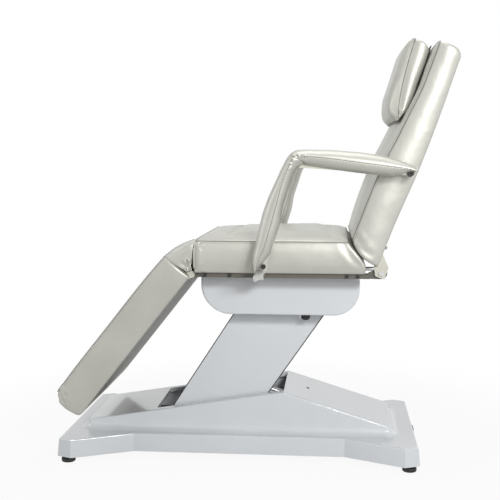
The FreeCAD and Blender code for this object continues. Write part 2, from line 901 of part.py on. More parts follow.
def base_frame():
    """The welded frame: two rails between two end beams."""
    pieces = []
    for side in (-1, 1):
        pieces.append(
            box(
                f"base_rail_{side + 1}",
                "base_mid_x - beam_outer_x + beam_width",
                f"{side} * rail_middle_y - rail_width / 2",
                "frame_bottom_z",
                "2 * (beam_outer_x - beam_width)",
                "rail_width",
                "frame_height",
            )
        )
        pieces.append(
            box(
                f"base_beam_{side + 1}",
                f"base_mid_x + {side} * (beam_outer_x - beam_width / 2) - beam_width / 2",
                "-beam_half_length",
                "frame_bottom_z",
                "beam_width",
                "2 * beam_half_length",
                "frame_height",
            )
        )
    notch = box(
        "inlet_notch",
        "base_mid_x + beam_outer_x - inlet_well",
        "-inlet_half_width - notch_clearance",
        "frame_bottom_z - overrun",
        "inlet_well + overrun",
        "2 * (inlet_half_width + notch_clearance)",
        "frame_height + 2 * overrun",
    )
    tools = [notch]
    for index, (sign_x, sign_y) in enumerate(((-1, -1), (-1, 1), (1, -1), (1, 1))):
        tools.append(
            upright(
                f"stud_hole_{index}",
                "stud_radius",
                f"base_mid_x + {sign_x} * foot_x",
                f"{sign_y} * foot_y",
                "frame_bottom_z - overrun",
                "frame_height + 2 * overrun",
            )
        )
    return node("base_frame", cut("frame", fuse("frame_whole", pieces), *tools))


def feet():
    """Four rubber-faced feet, each on a stud with a lock nut under the frame."""
    pads = []
    studs = []
    nuts = []
    near = number("edge_tolerance")
    for index, (sign_x, sign_y) in enumerate(((-1, -1), (-1, 1), (1, -1), (1, 1))):
        x = f"base_mid_x + {sign_x} * foot_x"
        y = f"{sign_y} * foot_y"
        pad = upright(f"foot_{index}", "foot_radius", x, y, "0", "foot_height")
        pads.append(rounded(f"foot_round_{index}", pad, "foot_round", lambda edge: edge.BoundBox.ZLength < near))
        studs.append(upright(f"stud_{index}", "stud_radius", x, y, "foot_height", "frame_top_z - foot_height"))
        hexagon = doc.addObject("Part::Prism", f"nut_{index}")
        hexagon.Polygon = 6
        hexagon.setExpression("Circumradius", full("nut_radius"))
        hexagon.setExpression("Height", full("nut_height"))
        hexagon.setExpression("Placement", place_text(x, y, "frame_bottom_z - nut_height"))
        hole = upright(f"nut_hole_{index}", "stud_radius", x, y, "0", "frame_top_z")
        nuts.append(cut(f"nut_cut_{index}", hexagon, hole))
    node("foot_pads", group("foot_pads", pads))
    node("foot_studs", group("foot_studs", studs + nuts))


def lift_brackets():
    """The two upright brackets on the rails that hold the arm's lower axle."""
    plates = []
    for side in (-1, 1):
        plates.append(
            prism(
                f"lift_bracket_{side + 1}",
                WORLD,
                f"{side} * (bracket_inner_y + bracket_thickness / 2)",
                "bracket_thickness",
                [
                    ("lift_pivot_x - bracket_foot_half", "frame_bottom_z"),
                    ("lift_pivot_x + bracket_foot_half", "frame_bottom_z"),
                    ("lift_pivot_x + bracket_foot_half", "frame_top_z"),
                    ("lift_pivot_x + bracket_head_radius", "lift_pivot_z"),
                    ("lift_pivot_x", "lift_pivot_z + bracket_head_radius", "round"),
                    ("lift_pivot_x - bracket_head_radius", "lift_pivot_z"),
                    ("lift_pivot_x - bracket_foot_half", "frame_top_z"),
                ],
                holes=[("lift_pivot_x", "lift_pivot_z", "axle_radius")],
            )
        )
    node("lift_brackets", group("lift_brackets", plates))
    axle = crosswise("lift_axle", "axle_radius", "lift_pivot_x", "lift_pivot_z", "-axle_reach", "2 * axle_reach")
    node("lift_axle", axle)


def link_bracket():
    """A cross bar between the lift brackets with two lugs for the levelling links."""
    x = "lift_pivot_x + link_shift_x"
    z = "lift_pivot_z + link_shift_z"
    bar = box(
        "link_beam",
        f"{x} - link_beam_half",
        "-bracket_inner_y",
        "frame_bottom_z",
        "2 * link_beam_half",
        "2 * bracket_inner_y",
        "link_beam_height",
    )
    pieces = [bar]
    for side in (-1, 1):
        pieces.append(
            prism(
                f"link_lug_{side + 1}",
                WORLD,
                f"{side} * (link_lug_y + link_lug_thickness / 2)",
                "link_lug_thickness",
                [
                    (f"{x} - link_lug_radius", "frame_bottom_z"),
                    (f"{x} + link_lug_radius", "frame_bottom_z"),
                    (f"{x} + link_lug_radius", z),
                    (x, f"{z} + link_lug_radius", "round"),
                    (f"{x} - link_lug_radius", z),
                ],
                holes=[(x, z, "link_pin_radius")],
            )
        )
    node("link_bracket", fuse("link_bracket_whole", pieces))


def motor_frame():
    """The lift motor's own frame: X runs up the rod, and the origin is the motor's rear pin."""
    x = "crank_pin_x + motor_reach * cos(rod_tilt)"
    z = "crank_pin_z - motor_reach * sin(rod_tilt)"
    return (x, z, "rod_tilt")


def lift_motor():
    """The lift motor: a gearbox with a can beside it and the outer tube, held at its rear eye."""
    frame = motor_frame()
    tube = lengthwise(
        "lift_motor_tube",
        "motor_tube_radius",
        f"{frame[0]} - motor_box_length / 2 * cos(rod_tilt)",
        "0",
        f"{frame[1]} + motor_box_length / 2 * sin(rod_tilt)",
        "motor_tube_length",
        "180 + rod_tilt",
    )
    gearbox = prism(
        "lift_motor_box",
        frame,
        "0",
        "2 * motor_box_half",
        box_path("-motor_box_length", "-motor_box_half", "-motor_eye_radius - motor_eye_gap", "motor_box_half"),
    )
    can = lengthwise(
        "lift_motor_can",
        "motor_can_radius",
        f"{frame[0]} - motor_box_length * cos(rod_tilt)",
        "motor_can_offset",
        f"{frame[1]} + motor_box_length * sin(rod_tilt)",
        "motor_can_length",
        "180 + rod_tilt",
    )
    side_box = prism(
        "lift_motor_side",
        frame,
        "motor_can_offset",
        "2 * motor_can_radius",
        box_path("-motor_box_length", "-motor_can_radius", "-motor_can_radius", "motor_can_radius"),
    )
    eye = prism(
        "lift_motor_eye",
        frame,
        "0",
        "2 * (motor_lug_y - motor_eye_gap)",
        [
            ("-motor_box_length / 2", "-motor_eye_radius"),
            ("0", "-motor_eye_radius"),
            ("motor_eye_radius", "0", "round"),
            ("0", "motor_eye_radius"),
            ("-motor_box_length / 2", "motor_eye_radius"),
        ],
    )
    bore = crosswise(
        "lift_motor_bore", "motor_pin_radius", "0", "0", "-motor_box_half", "2 * motor_box_half", frame
    )
    mouth = "(motor_box_length / 2 + motor_tube_length)"
    channel = lengthwise(
        "lift_motor_channel",
        "rod_radius + slot_clearance",
        f"{frame[0]} - {mouth} * cos(rod_tilt)",
        "0",
        f"{frame[1]} + {mouth} * sin(rod_tilt)",
        "lift_travel + rod_engagement + 2 * channel_spare",
        "rod_tilt",
    )
    body = fuse("lift_motor_whole", [tube, gearbox, can, side_box, eye])
    node("lift_motor", cut("lift_motor_cut", body, bore, channel))
    reach = "(motor_lug_y + motor_lug_thickness)"
    motor_pin = crosswise("motor_pin", "motor_pin_radius", "0", "0", f"-{reach}", f"2 * {reach}", frame)
    reach = "(link_lug_y + link_lug_thickness)"
    link_pin = crosswise(
        "link_pin",
        "link_pin_radius",
        "lift_pivot_x + link_shift_x",
        "lift_pivot_z + link_shift_z",
        f"-{reach}",
        f"2 * {reach}",
    )
    node("base_pins", group("base_pins", [motor_pin, link_pin]))


def motor_beam():
    """The cross beam under the lift motor's rear eye, with its two lugs."""
    x, z, _ = motor_frame()
    beam = box(
        "motor_beam_bar",
        f"{x} - motor_eye_radius",
        "-(rail_middle_y - rail_width / 2)",
        "frame_bottom_z",
        "2 * motor_eye_radius",
        "2 * rail_middle_y - rail_width",
        "link_beam_height",
    )
    pieces = [beam]
    for side in (-1, 1):
        pieces.append(
            prism(
                f"motor_lug_{side + 1}",
                WORLD,
                f"{side} * (motor_lug_y + motor_lug_thickness / 2)",
                "motor_lug_thickness",
                [
                    (f"{x} - motor_eye_radius", "frame_bottom_z"),
                    (f"{x} + motor_eye_radius", "frame_bottom_z"),
                    (f"{x} + motor_eye_radius", z),
                    (x, f"{z} + motor_eye_radius", "round"),
                    (f"{x} - motor_eye_radius", z),
                ],
                holes=[(x, z, "motor_pin_radius")],
            )
        )
    node("motor_beam", fuse("motor_beam_whole", pieces))


def lift_rod():
    """The lift rod: its eye is slotted across the rod, because the crank pin swings in an arc."""
    frame = ("crank_pin_x", "crank_pin_z", "rod_tilt")
    at_rest = "crank_length * cos((lift_up - lift_down) / 2)"
    high = f"crank_length - {at_rest}"
    low = f"{at_rest} - crank_length * cos(crank_swing)"
    wide = "crank_pin_radius + slot_clearance"
    outer = "crank_pin_radius + slot_clearance + rod_eye_margin"
    plate = prism(
        "lift_rod_eye",
        frame,
        "0",
        "2 * rod_eye_half_width",
        [
            (f"-({outer})", f"-({low})"),
            ("0", f"-({low}) - ({outer})", "round"),
            (outer, f"-({low})"),
            (outer, high),
            ("0", f"{high} + {outer}", "round"),
            (f"-({outer})", high),
        ],
    )
    shank = lengthwise(
        "lift_rod_shank",
        "rod_radius",
        f"crank_pin_x + ({wide}) * cos(rod_tilt)",
        "0",
        f"crank_pin_z - ({wide}) * sin(rod_tilt)",
        f"motor_reach - motor_box_length / 2 - motor_tube_length + lift_travel + rod_engagement - ({wide})",
        "rod_tilt",
    )
    slot = prism(
        "lift_rod_slot",
        frame,
        "0",
        "2 * (rod_eye_half_width + overrun)",
        [
            (f"-({wide})", f"-({low})"),
            ("0", f"-({low}) - ({wide})", "round"),
            (wide, f"-({low})"),
            (wide, high),
            ("0", f"{high} + {wide}", "round"),
            (f"-({wide})", high),
        ],
    )
    node("lift_rod", cut("lift_rod_cut", fuse("lift_rod_whole", [plate, shank]), slot))


def cover_fixing():
    """A strap over the rails that the cover's one visible screw goes into, and the screw."""
    ends = ("strap_x - strap_half", "strap_x + strap_half")
    under = [f"hump_peak_z - cover_wall - soft_gap - rear_slope * ({x} - hump_peak_x)" for x in ends]
    bridge = prism(
        "strap_bridge",
        WORLD,
        "0",
        "2 * strap_leg_y",
        [
            (ends[0], f"{under[0]} - strap_thickness"),
            (ends[1], f"{under[1]} - strap_thickness"),
            (ends[1], under[1]),
            (ends[0], under[0]),
        ],
    )
    pieces = [bridge]
    for side in (-1, 1):
        pieces.append(
            prism(
                f"strap_leg_{side + 1}",
                WORLD,
                f"{side} * (strap_leg_y - strap_thickness / 2)",
                "strap_thickness",
                [
                    (ends[0], "frame_top_z"),
                    (ends[1], "frame_top_z"),
                    (ends[1], f"{under[1]} - strap_thickness / 2"),
                    (ends[0], f"{under[0]} - strap_thickness / 2"),
                ],
            )
        )
    face = "hump_peak_z - rear_slope * (strap_x - hump_peak_x)"
    slope = "atan(rear_slope)"
    shank = doc.addObject("Part::Cylinder", "screw_shank")
    shank.setExpression("Radius", full("screw_shank_radius"))
    shank.setExpression("Height", full("cover_wall + strap_thickness"))
    depth = "(cover_wall + strap_thickness)"
    shank.setExpression(
        "Placement",
        place_text(f"strap_x - {depth} * sin({slope})", "0", f"{face} - {depth} * cos({slope})", slope),
    )
    head = doc.addObject("Part::Cylinder", "screw_head")
    head.setExpression("Radius", full("screw_radius"))
    head.setExpression("Height", full("screw_head_height"))
    head.setExpression("Placement", place_text("strap_x", "0", face, slope))
    screw = fuse("cover_screw", [shank, head])
    node("cover_screw", screw)
    node("cover_strap", cut("strap_cut", fuse("strap_whole", pieces), shank))
    nodes["base_cover"] = node("base_cover", cut("cover_drilled", nodes["base_cover"], shank))


def mains_inlet():
    """The mains inlet in the rear skirt, with its three pins in a well."""
    rear = "base_mid_x + base_half_length"
    block = box(
        "inlet_block",
        f"{rear} - inlet_depth",
        "-inlet_half_width",
        "inlet_z - inlet_half_height",
        "inlet_depth + inlet_proud",
        "2 * inlet_half_width",
        "2 * inlet_half_height",
    )
    well = box(
        "inlet_well",
        f"{rear} + inlet_proud - inlet_well",
        "-inlet_half_width + inlet_rim",
        "inlet_z - inlet_half_height + inlet_rim",
        "inlet_well + overrun",
        "2 * (inlet_half_width - inlet_rim)",
        "2 * (inlet_half_height - inlet_rim)",
    )
    hollow = cut("inlet_hollow", block, well)
    pieces = [hollow]
    for step in (-1, 0, 1):
        lift = "inlet_pin_radius" if step == 0 else "-inlet_pin_radius"
        pieces.append(
            lengthwise(
                f"inlet_pin_{step + 1}",
                "inlet_pin_radius",
                f"{rear} - inlet_depth + inlet_rim / 2",
                f"{step} * inlet_pin_pitch",
                f"inlet_z + {lift}",
                "inlet_depth - inlet_rim",
            )
        )
    node("mains_inlet", fuse("mains_inlet_whole", pieces))


def arm_frame():
    """The arm's weldment: two side plates, cross tubes and the stand-offs that carry the panels."""
    plates = []
    middle = "(arm_plate_outer_y - arm_plate_thickness / 2)"
    top = "arm_length"
    end = "arm_plate_end_radius"
    half = "arm_plate_half"
    for side in (-1, 1):
        plates.append(
            prism(
                f"arm_plate_{side + 1}",
                ARM,
                f"{side} * {middle}",
                "arm_plate_thickness",
                [
                    (f"{half}", f"-{half}"),
                    (f"{top} - {half}", f"-{half}"),
                    (top, f"-{end}"),
                    (f"{top} + {end}", "0", "round"),
                    (top, end),
                    (f"{top} - {half}", half),
                    (half, half),
                    ("0", end),
                    (f"-{end}", "0", "round"),
                    ("0", f"-{end}"),
                ],
                holes=[
                    ("0", "0", "axle_radius + fit_clearance"),
                    (top, "0", "axle_radius + fit_clearance"),
                    ("crank_along", "crank_across", "crank_pin_radius"),
                ],
            )
        )
    for along in ("arm_tube_one", "arm_tube_two"):
        plates.append(
            crosswise(
                along.replace("arm_", "arm_cross_"),
                "arm_tube_radius",
                along,
                "arm_tube_offset",
                f"-({middle})",
                f"2 * {middle}",
                ARM,
            )
        )
    reach = "panel_outer_y - panel_thickness - arm_plate_outer_y"
    for along in ("standoff_low", "standoff_middle", "standoff_high"):
        for side in (-1, 1):
            low = "arm_plate_outer_y" if side > 0 else f"-(panel_outer_y - panel_thickness)"
            plates.append(crosswise(f"{along}_{side + 1}", "standoff_radius", along, "0", low, reach, ARM))
    node("arm_frame", fuse("arm_frame_whole", plates))
    pin_length = "2 * arm_plate_outer_y"
    node(
        "crank_pin",
        crosswise(
            "crank_pin", "crank_pin_radius", "crank_along", "crank_across", "-arm_plate_outer_y", pin_length, ARM
        ),
    )


def panel_edge(edge, along, off):
    """A point beside the arm panel's front or rear edge, its distance off to the outside."""
    name = "front" if edge > 0 else "rear"
    across = f"panel_{name}_low + panel_{name}_rise * ({along} - panel_low_{name}) + {off}"
    return along, f"{edge} * ({across})"


def edge_strip(edge, first, last, inner, outer):
    """The outline of a strip that runs beside the panel's front or rear edge."""
    near = [panel_edge(edge, first, inner), panel_edge(edge, last, inner)]
    return near + [panel_edge(edge, last, outer), panel_edge(edge, first, outer)]


def arm_covers():
    """The arm's white side panels with dark edge trims, and the covers between them."""
    path = [
        panel_edge(-1, "panel_low_rear", "0"),
        panel_edge(-1, "arm_length - panel_top_rear", "0"),
        panel_edge(1, "arm_length - panel_top_front", "0"),
        panel_edge(1, "panel_low_front", "0"),
        ("panel_low_front", "panel_low_bend"),
    ]
    for side, name in SIDES:
        panel = prism(
            f"arm_panel_{name}_blank",
            ARM,
            f"{side} * (panel_outer_y - panel_thickness / 2)",
            "panel_thickness",
            path,
            holes=[("0", "0", "axle_radius + panel_axle_gap")],
        )
        doc.recompute()
        plate = panel.Tip
        edges = plate.Shape.Edges
        across = number("panel_thickness")
        picked = [
            f"Edge{index + 1}"
            for index, edge in enumerate(edges)
            if abs(edge.BoundBox.YLength - across) < across / 2
            and edge.BoundBox.XLength < across / 2
            and edge.CenterOfMass.Length > 2 * number("axle_radius")
        ]
        fillet = panel.newObject("PartDesign::Fillet", f"arm_panel_{name}_round")
        fillet.Base = (plate, picked)
        fillet.setExpression("Radius", full("panel_corner_round"))
        node(f"arm_panel_{name}", panel)
    trims = []
    across = "trim_outer_y - trim_inner_y"
    for side in (-1, 1):
        for edge, start, end in (
            (-1, "panel_low_rear", "arm_length - panel_top_rear - panel_corner_round"),
            (1, "panel_low_front", "arm_length - panel_top_front - panel_corner_round"),
        ):
            trims.append(
                prism(
                    f"arm_trim_{side + 1}_{edge + 1}",
                    ARM,
                    f"{side} * (trim_outer_y + trim_inner_y) / 2",
                    across,
                    edge_strip(edge, f"({start} + panel_corner_round)", end, "0", "trim_depth"),
                )
            )
    node("arm_edge_trims", group("arm_edge_trims", trims))
    inner = "panel_outer_y - panel_thickness"
    skin = "arm_cover_thickness / 2"
    for name, edge, start, end in (
        ("arm_front_cover", 1, "front_cover_start", "arm_length - front_cover_end"),
        ("arm_rear_cover", -1, "rear_cover_start", "arm_length - rear_cover_end"),
    ):
        path = edge_strip(edge, start, f"({end})", f"-arm_cover_inset - {skin}", f"-arm_cover_inset + {skin}")
        node(name, prism(name, ARM, "0", f"2 * ({inner})", path))


def link_bars():
    """The two levelling links beside each other, parallel to the arm."""
    bars = []
    frame = ("lift_pivot_x + link_shift_x", "lift_pivot_z + link_shift_z", "-arm_angle")
    for side in (-1, 1):
        bars.append(
            prism(
                f"link_bar_{side + 1}",
                frame,
                f"{side} * link_bar_y",
                "link_bar_thickness",
                [
                    ("link_end_radius", "-link_bar_half"),
                    ("arm_length - link_end_radius", "-link_bar_half"),
                    ("arm_length", "-link_end_radius"),
                    ("arm_length + link_end_radius", "0", "round"),
                    ("arm_length", "link_end_radius"),
                    ("arm_length - link_end_radius", "link_bar_half"),
                    ("link_end_radius", "link_bar_half"),
                    ("0", "link_end_radius"),
                    ("-link_end_radius", "0", "round"),
                    ("0", "-link_end_radius"),
                ],
                holes=[
                    ("0", "0", "link_pin_radius + fit_clearance"),
                    ("arm_length", "0", "link_pin_radius + open_clearance"),
                ],
            )
        )
    node("link_bars", group("link_bars", bars))


def seat_frame():
    """The seat's welded frame: rails, cross bars, hinge lugs and the lugs on the arm's upper axle."""
    pieces = []
    crossbars = [
        (f"{x} - crossbar_half", "2 * crossbar_half")
        for x in ("crossbar_front_x", "crossbar_middle_x", "crossbar_rear_x")
    ]
    lug_plate = ("seat_pivot_x - seat_lug_half", "seat_lug_half + link_shift_x + link_lug_radius")
    for index, (x, length) in enumerate(crossbars + [lug_plate]):
        pieces.append(
            box(f"crossbar_{index}", x, "-rail_inner_y", "rail_bottom_z", length, "2 * rail_inner_y", "rail_depth")
        )
    for side in (-1, 1):
        pieces.append(
            box(
                f"seat_rail_{side + 1}",
                "seat_rail_front_x",
                f"{side} * (rail_outer_y + rail_inner_y) / 2 - seat_rail_width / 2",
                "rail_bottom_z",
                "seat_rail_rear_x - seat_rail_front_x",
                "seat_rail_width",
                "rail_depth",
            )
        )
        lug_middle = f"{side} * (hinge_lug_outer_y - hinge_lug_thickness / 2)"
        pieces.append(
            prism(
                f"back_lug_{side + 1}",
                WORLD,
                lug_middle,
                "hinge_lug_thickness",
                [
                    ("seat_rail_rear_x - hinge_lug_start", "rail_bottom_z"),
                    ("back_pivot_x", "back_pivot_z - back_lug_radius"),
                    ("back_pivot_x + back_lug_radius", "back_pivot_z", "round"),
                    ("back_pivot_x", "back_pivot_z + back_lug_radius"),
                    ("back_lug_rise_x", "back_pivot_z"),
                    ("back_lug_rise_x", "hinge_lug_top_z"),
                    ("seat_rail_rear_x - hinge_lug_start", "hinge_lug_top_z"),
                ],
                holes=[("back_pivot_x", "back_pivot_z", "torsion_radius + fit_clearance")],
            )
        )
        pieces.append(
            prism(
                f"leg_lug_{side + 1}",
                WORLD,
                lug_middle,
                "hinge_lug_thickness",
                [
                    ("leg_pivot_x", "leg_pivot_z - leg_lug_radius"),
                    ("seat_rail_front_x", "rail_bottom_z"),
                    ("seat_rail_front_x + hinge_lug_start", "rail_bottom_z"),
                    ("seat_rail_front_x + hinge_lug_start", "hinge_lug_top_z"),
                    ("seat_front_x", "hinge_lug_top_z"),
                    ("leg_pivot_x", "leg_pivot_z + leg_lug_radius"),
                    ("leg_pivot_x - leg_lug_radius", "leg_pivot_z", "round"),
                ],
                holes=[("leg_pivot_x", "leg_pivot_z", "leg_torsion_radius + fit_clearance")],
            )
        )
        pieces.append(
            prism(
                f"seat_lug_{side + 1}",
                WORLD,
                f"{side} * (seat_lug_inner_y + seat_lug_thickness / 2)",
                "seat_lug_thickness",
                [
                    ("seat_pivot_x - seat_lug_half", "rail_top_z"),
                    ("seat_pivot_x - seat_lug_half", "rail_bottom_z"),
                    ("seat_pivot_x - seat_lug_radius", "seat_pivot_z"),
                    ("seat_pivot_x", "seat_pivot_z - seat_lug_radius", "round"),
                    ("seat_pivot_x + seat_lug_radius", "seat_pivot_z"),
                    ("seat_pivot_x + seat_lug_half", "rail_bottom_z"),
                    ("seat_pivot_x + seat_lug_half", "rail_top_z"),
                ],
                holes=[("seat_pivot_x", "seat_pivot_z", "axle_radius")],
            )
        )
        pieces.append(
            prism(
                f"link_lug_top_{side + 1}",
                WORLD,
                f"{side} * (link_lug_y + link_lug_thickness / 2)",
                "link_lug_thickness",
                [
                    ("link_top_x - link_lug_radius", "rail_top_z"),
                    ("link_top_x - link_lug_radius", "link_top_z"),
                    ("link_top_x", "link_top_z - link_lug_radius", "round"),
                    ("link_top_x + link_lug_radius", "link_top_z"),
                    ("link_top_x + link_lug_radius", "rail_top_z"),
                ],
                holes=[("link_top_x", "link_top_z", "link_pin_radius")],
            )
        )
    node("seat_frame", fuse("seat_frame_whole", pieces))
    node(
        "seat_axle",
        crosswise("seat_axle", "axle_radius", "seat_pivot_x", "seat_pivot_z", "-axle_reach", "2 * axle_reach"),
    )
    reach = "(link_lug_y + link_lug_thickness)"
    node(
        "link_pin_upper",
        crosswise("link_pin_upper", "link_pin_radius", "link_top_x", "link_top_z", f"-{reach}", f"2 * {reach}"),
    )


def pan_path(wall, top):
    """The housing's side outline, drawn in by a wall's thickness."""
    front = f"housing_front_x + {wall}"
    rear = f"housing_rear_x - {wall}"
    low = f"housing_bottom_z + {wall}"
    turn = "(1 - cos(45))"
    first = f"(housing_front_radius - {wall})"
    second = f"(housing_rear_radius - {wall})"
    return [
        (front, top),
        (front, f"{low} + {first}"),
        (f"{front} + {first} * {turn}", f"{low} + {first} * {turn}", "round"),
        (f"{front} + {first}", low),
        (f"{rear} - {second}", low),
        (f"{rear} - {second} * {turn}", f"{low} + {second} * {turn}", "round"),
        (rear, f"{low} + {second}"),
        (rear, top),
    ]


def seat_housing():
    """The white pan under the seat, open at the top, with a slot that the arm comes up through."""
    shell = prism("housing_outside", WORLD, "0", "2 * housing_half_width", pan_path("0", "housing_top_z"))
    top = number("housing_top_z")
    side = number("housing_half_width")
    near = number("edge_tolerance")

    def is_side_edge(edge):
        reach = edge.BoundBox
        return reach.YLength < near and abs(abs(reach.YMin) - side) < near and reach.ZMin < top - near

    shell = rounded("housing_rounded", shell, "housing_edge_round", is_side_edge)
    inside = prism(
        "housing_inside",
        WORLD,
        "0",
        "2 * (housing_half_width - housing_wall)",
        pan_path("housing_wall", "housing_top_z + overrun"),
    )
    arm_slot = box(
        "housing_arm_slot",
        "housing_slot_front_x",
        "-slot_half_width",
        "housing_bottom_z - overrun",
        "housing_slot_rear_x - housing_slot_front_x",
        "2 * slot_half_width",
        "2 * overrun",
    )
    crank_slot = box(
        "housing_crank_slot",
        "housing_front_x - overrun",
        "drive_y - crank_slot_half",
        "housing_top_z - crank_slot_depth",
        "3 * overrun",
        "2 * crank_slot_half",
        "crank_slot_depth + overrun",
    )
    rod_slot = box(
        "housing_rod_slot",
        "housing_rear_x - overrun",
        "drive_y - rod_slot_half",
        "housing_top_z - rod_slot_depth",
        "2 * overrun",
        "2 * rod_slot_half",
        "rod_slot_depth + overrun",
    )
    node("seat_housing", cut("housing", shell, inside, arm_slot, crank_slot, rod_slot))
    control = box(
        "control_block",
        "control_front_x",
        "-control_outer_y",
        "housing_bottom_z + housing_wall",
        "control_length",
        "control_width",
        "control_height",
    )
    node("control_box", rounded("control_rounded", control, "control_round", lambda edge: edge.BoundBox.ZLength > near))
    bumper = upright(
        "bumper_block",
        "bumper_half",
        "bumper_x",
        "-bumper_y",
        "housing_bottom_z - bumper_height",
        "bumper_height",
    )
    low = number("housing_bottom_z - bumper_height")
    node(
        "housing_bumper",
        rounded("bumper_rounded", bumper, "bumper_round", lambda edge: edge.BoundBox.ZMax < low + near),
    )
    node(
        "bumper_tab",
        box(
            "bumper_tab",
            "bumper_x - bumper_half - bumper_tab_thickness",
            "-bumper_y - bumper_tab_half",
            "housing_bottom_z - bumper_tab_drop",
            "bumper_tab_thickness",
            "2 * bumper_tab_half",
            "bumper_tab_drop",
        ),
    )
    bolts = []
    for index, x in enumerate(("front", "second", "third", "rear")):
        for side in (-1, 1):
            low_y = "rail_outer_y" if side > 0 else "-rail_outer_y - seat_bolt_height"
            bolts.append(
                crosswise(
                    f"seat_bolt_{index}_{side + 1}",
                    "seat_bolt_radius",
                    f"seat_bolt_{x}_x",
                    "rail_top_z - rail_depth / 2",
                    low_y,
                    "seat_bolt_height",
                )
            )
    node("seat_bolts", group("seat_bolts", bolts))


def side_motor(label, box_x, tube_x, tube_length, can_x, mouth_x, channel, z):
    """A drive under the seat: gearbox, outer tube and motor can, hung from a cross bar."""
    low_y = "drive_y - drive_box_half"
    gearbox = box(
        label + "_box",
        box_x,
        low_y,
        f"{z} - drive_can_drop - drive_box_half",
        "drive_box_length",
        "2 * drive_box_half",
        "drive_can_drop + 2 * drive_box_half",
    )
    mount = box(
        label + "_mount",
        box_x,
        "drive_y - drive_mount_half",
        z,
        "drive_box_length",
        "2 * drive_mount_half",
        f"rail_bottom_z - ({z})",
    )
    tube = lengthwise(label + "_tube", "drive_tube_radius", tube_x, "drive_y", z, tube_length)
    can = lengthwise(
        label + "_can", "drive_can_radius", can_x, "drive_y", f"{z} - drive_can_drop", "drive_can_length"
    )
    bore = lengthwise(
        label + "_bore", "drive_rod_radius + slot_clearance", mouth_x, "drive_y", z, channel
    )
    node(label, cut(label + "_cut", fuse(label + "_whole", [gearbox, mount, tube, can]), bore))


def side_rod(label, pin_x, z, swing, shank_x, shank_length):
    """A drive's rod, with an upright slot in its eye because the crank pin swings in an arc."""
    wide = "drive_pin_radius + slot_clearance"
    outer = f"{wide} + drive_eye_margin"
    obrounds = []
    for name, radius, thickness in (
        ("_eye", outer, "2 * drive_eye_half"),
        ("_slot", wide, "2 * drive_eye_half + overrun"),
    ):
        obrounds.append(
            prism(
                label + name,
                (pin_x, z, "0"),
                "drive_y",
                thickness,
                [
                    (f"-({radius})", f"-({swing})"),
                    ("0", f"-({swing}) - ({radius})", "round"),
                    (radius, f"-({swing})"),
                    (radius, swing),
                    ("0", f"{swing} + {radius}", "round"),
                    (f"-({radius})", swing),
                ],
            )
        )
    shank = lengthwise(label + "_shank", "drive_rod_radius", shank_x, "drive_y", z, shank_length)
    node(label, cut(label + "_cut", fuse(label + "_whole", [obrounds[0], shank]), obrounds[1]))


def side_drives():
    """The drives of the back and the leg rest."""
    depth = "rod_engagement + channel_spare"
    pin_gap = "drive_pin_radius + slot_clearance"
    side_motor(
        "back_motor",
        "back_box_x",
        "back_box_x + drive_box_length",
        "back_tube_rear_x - back_box_x - drive_box_length",
        "back_box_x + drive_box_length",
        f"back_tube_rear_x - back_travel - ({depth})",
        f"back_travel + {depth} + overrun",
        "back_drive_z",
    )
    back_pin_x = "(back_pivot_x + back_crank * sin(back_range / 2))"
    side_rod(
        "back_rod",
        back_pin_x,
        "back_drive_z",
        "back_crank * (1 - cos(back_range / 2)) / 2",
        "back_tube_rear_x - rod_engagement",
        f"{back_pin_x} - ({pin_gap}) - back_tube_rear_x + rod_engagement",
    )
    side_motor(
        "leg_motor",
        "leg_box_x",
        "leg_tube_front_x",
        "leg_box_x - leg_tube_front_x",
        "leg_box_x - drive_can_length",
        "leg_tube_front_x - overrun",
        f"leg_travel + {depth} + overrun",
        "leg_drive_z",
    )
    leg_pin_x = "(leg_pivot_x + leg_crank * sin(leg_range / 2))"
    side_rod(
        "leg_rod",
        leg_pin_x,
        "leg_drive_z",
        "leg_crank * (1 - cos(leg_range / 2)) / 2",
        f"{leg_pin_x} + {pin_gap}",
        f"leg_tube_front_x + leg_travel + rod_engagement - {leg_pin_x} - ({pin_gap})",
    )


def drive_crank(name, pivot, angle, length):
    """A crank plate on a torsion tube, with its pin."""
    wide = "drive_crank_width"
    inner = "drive_y - drive_eye_half - drive_crank_gap - drive_crank_thickness"
    plate = prism(
        name + "_plate",
        (pivot[0], pivot[1], f"-({angle})"),
        f"{inner} + drive_crank_thickness / 2",
        "drive_crank_thickness",
        [
            ("0", f"-{wide}"),
            (length, f"-{wide}"),
            (f"{length} + {wide}", "0", "round"),
            (length, wide),
            ("0", wide),
        ],
    )
    reach = "drive_crank_thickness + drive_crank_gap + 2 * drive_eye_half + slot_clearance"
    peg = crosswise(
        name + "_pin", "drive_pin_radius", length, "0", inner, reach, (pivot[0], pivot[1], f"-({angle})")
    )
    return [plate, peg]


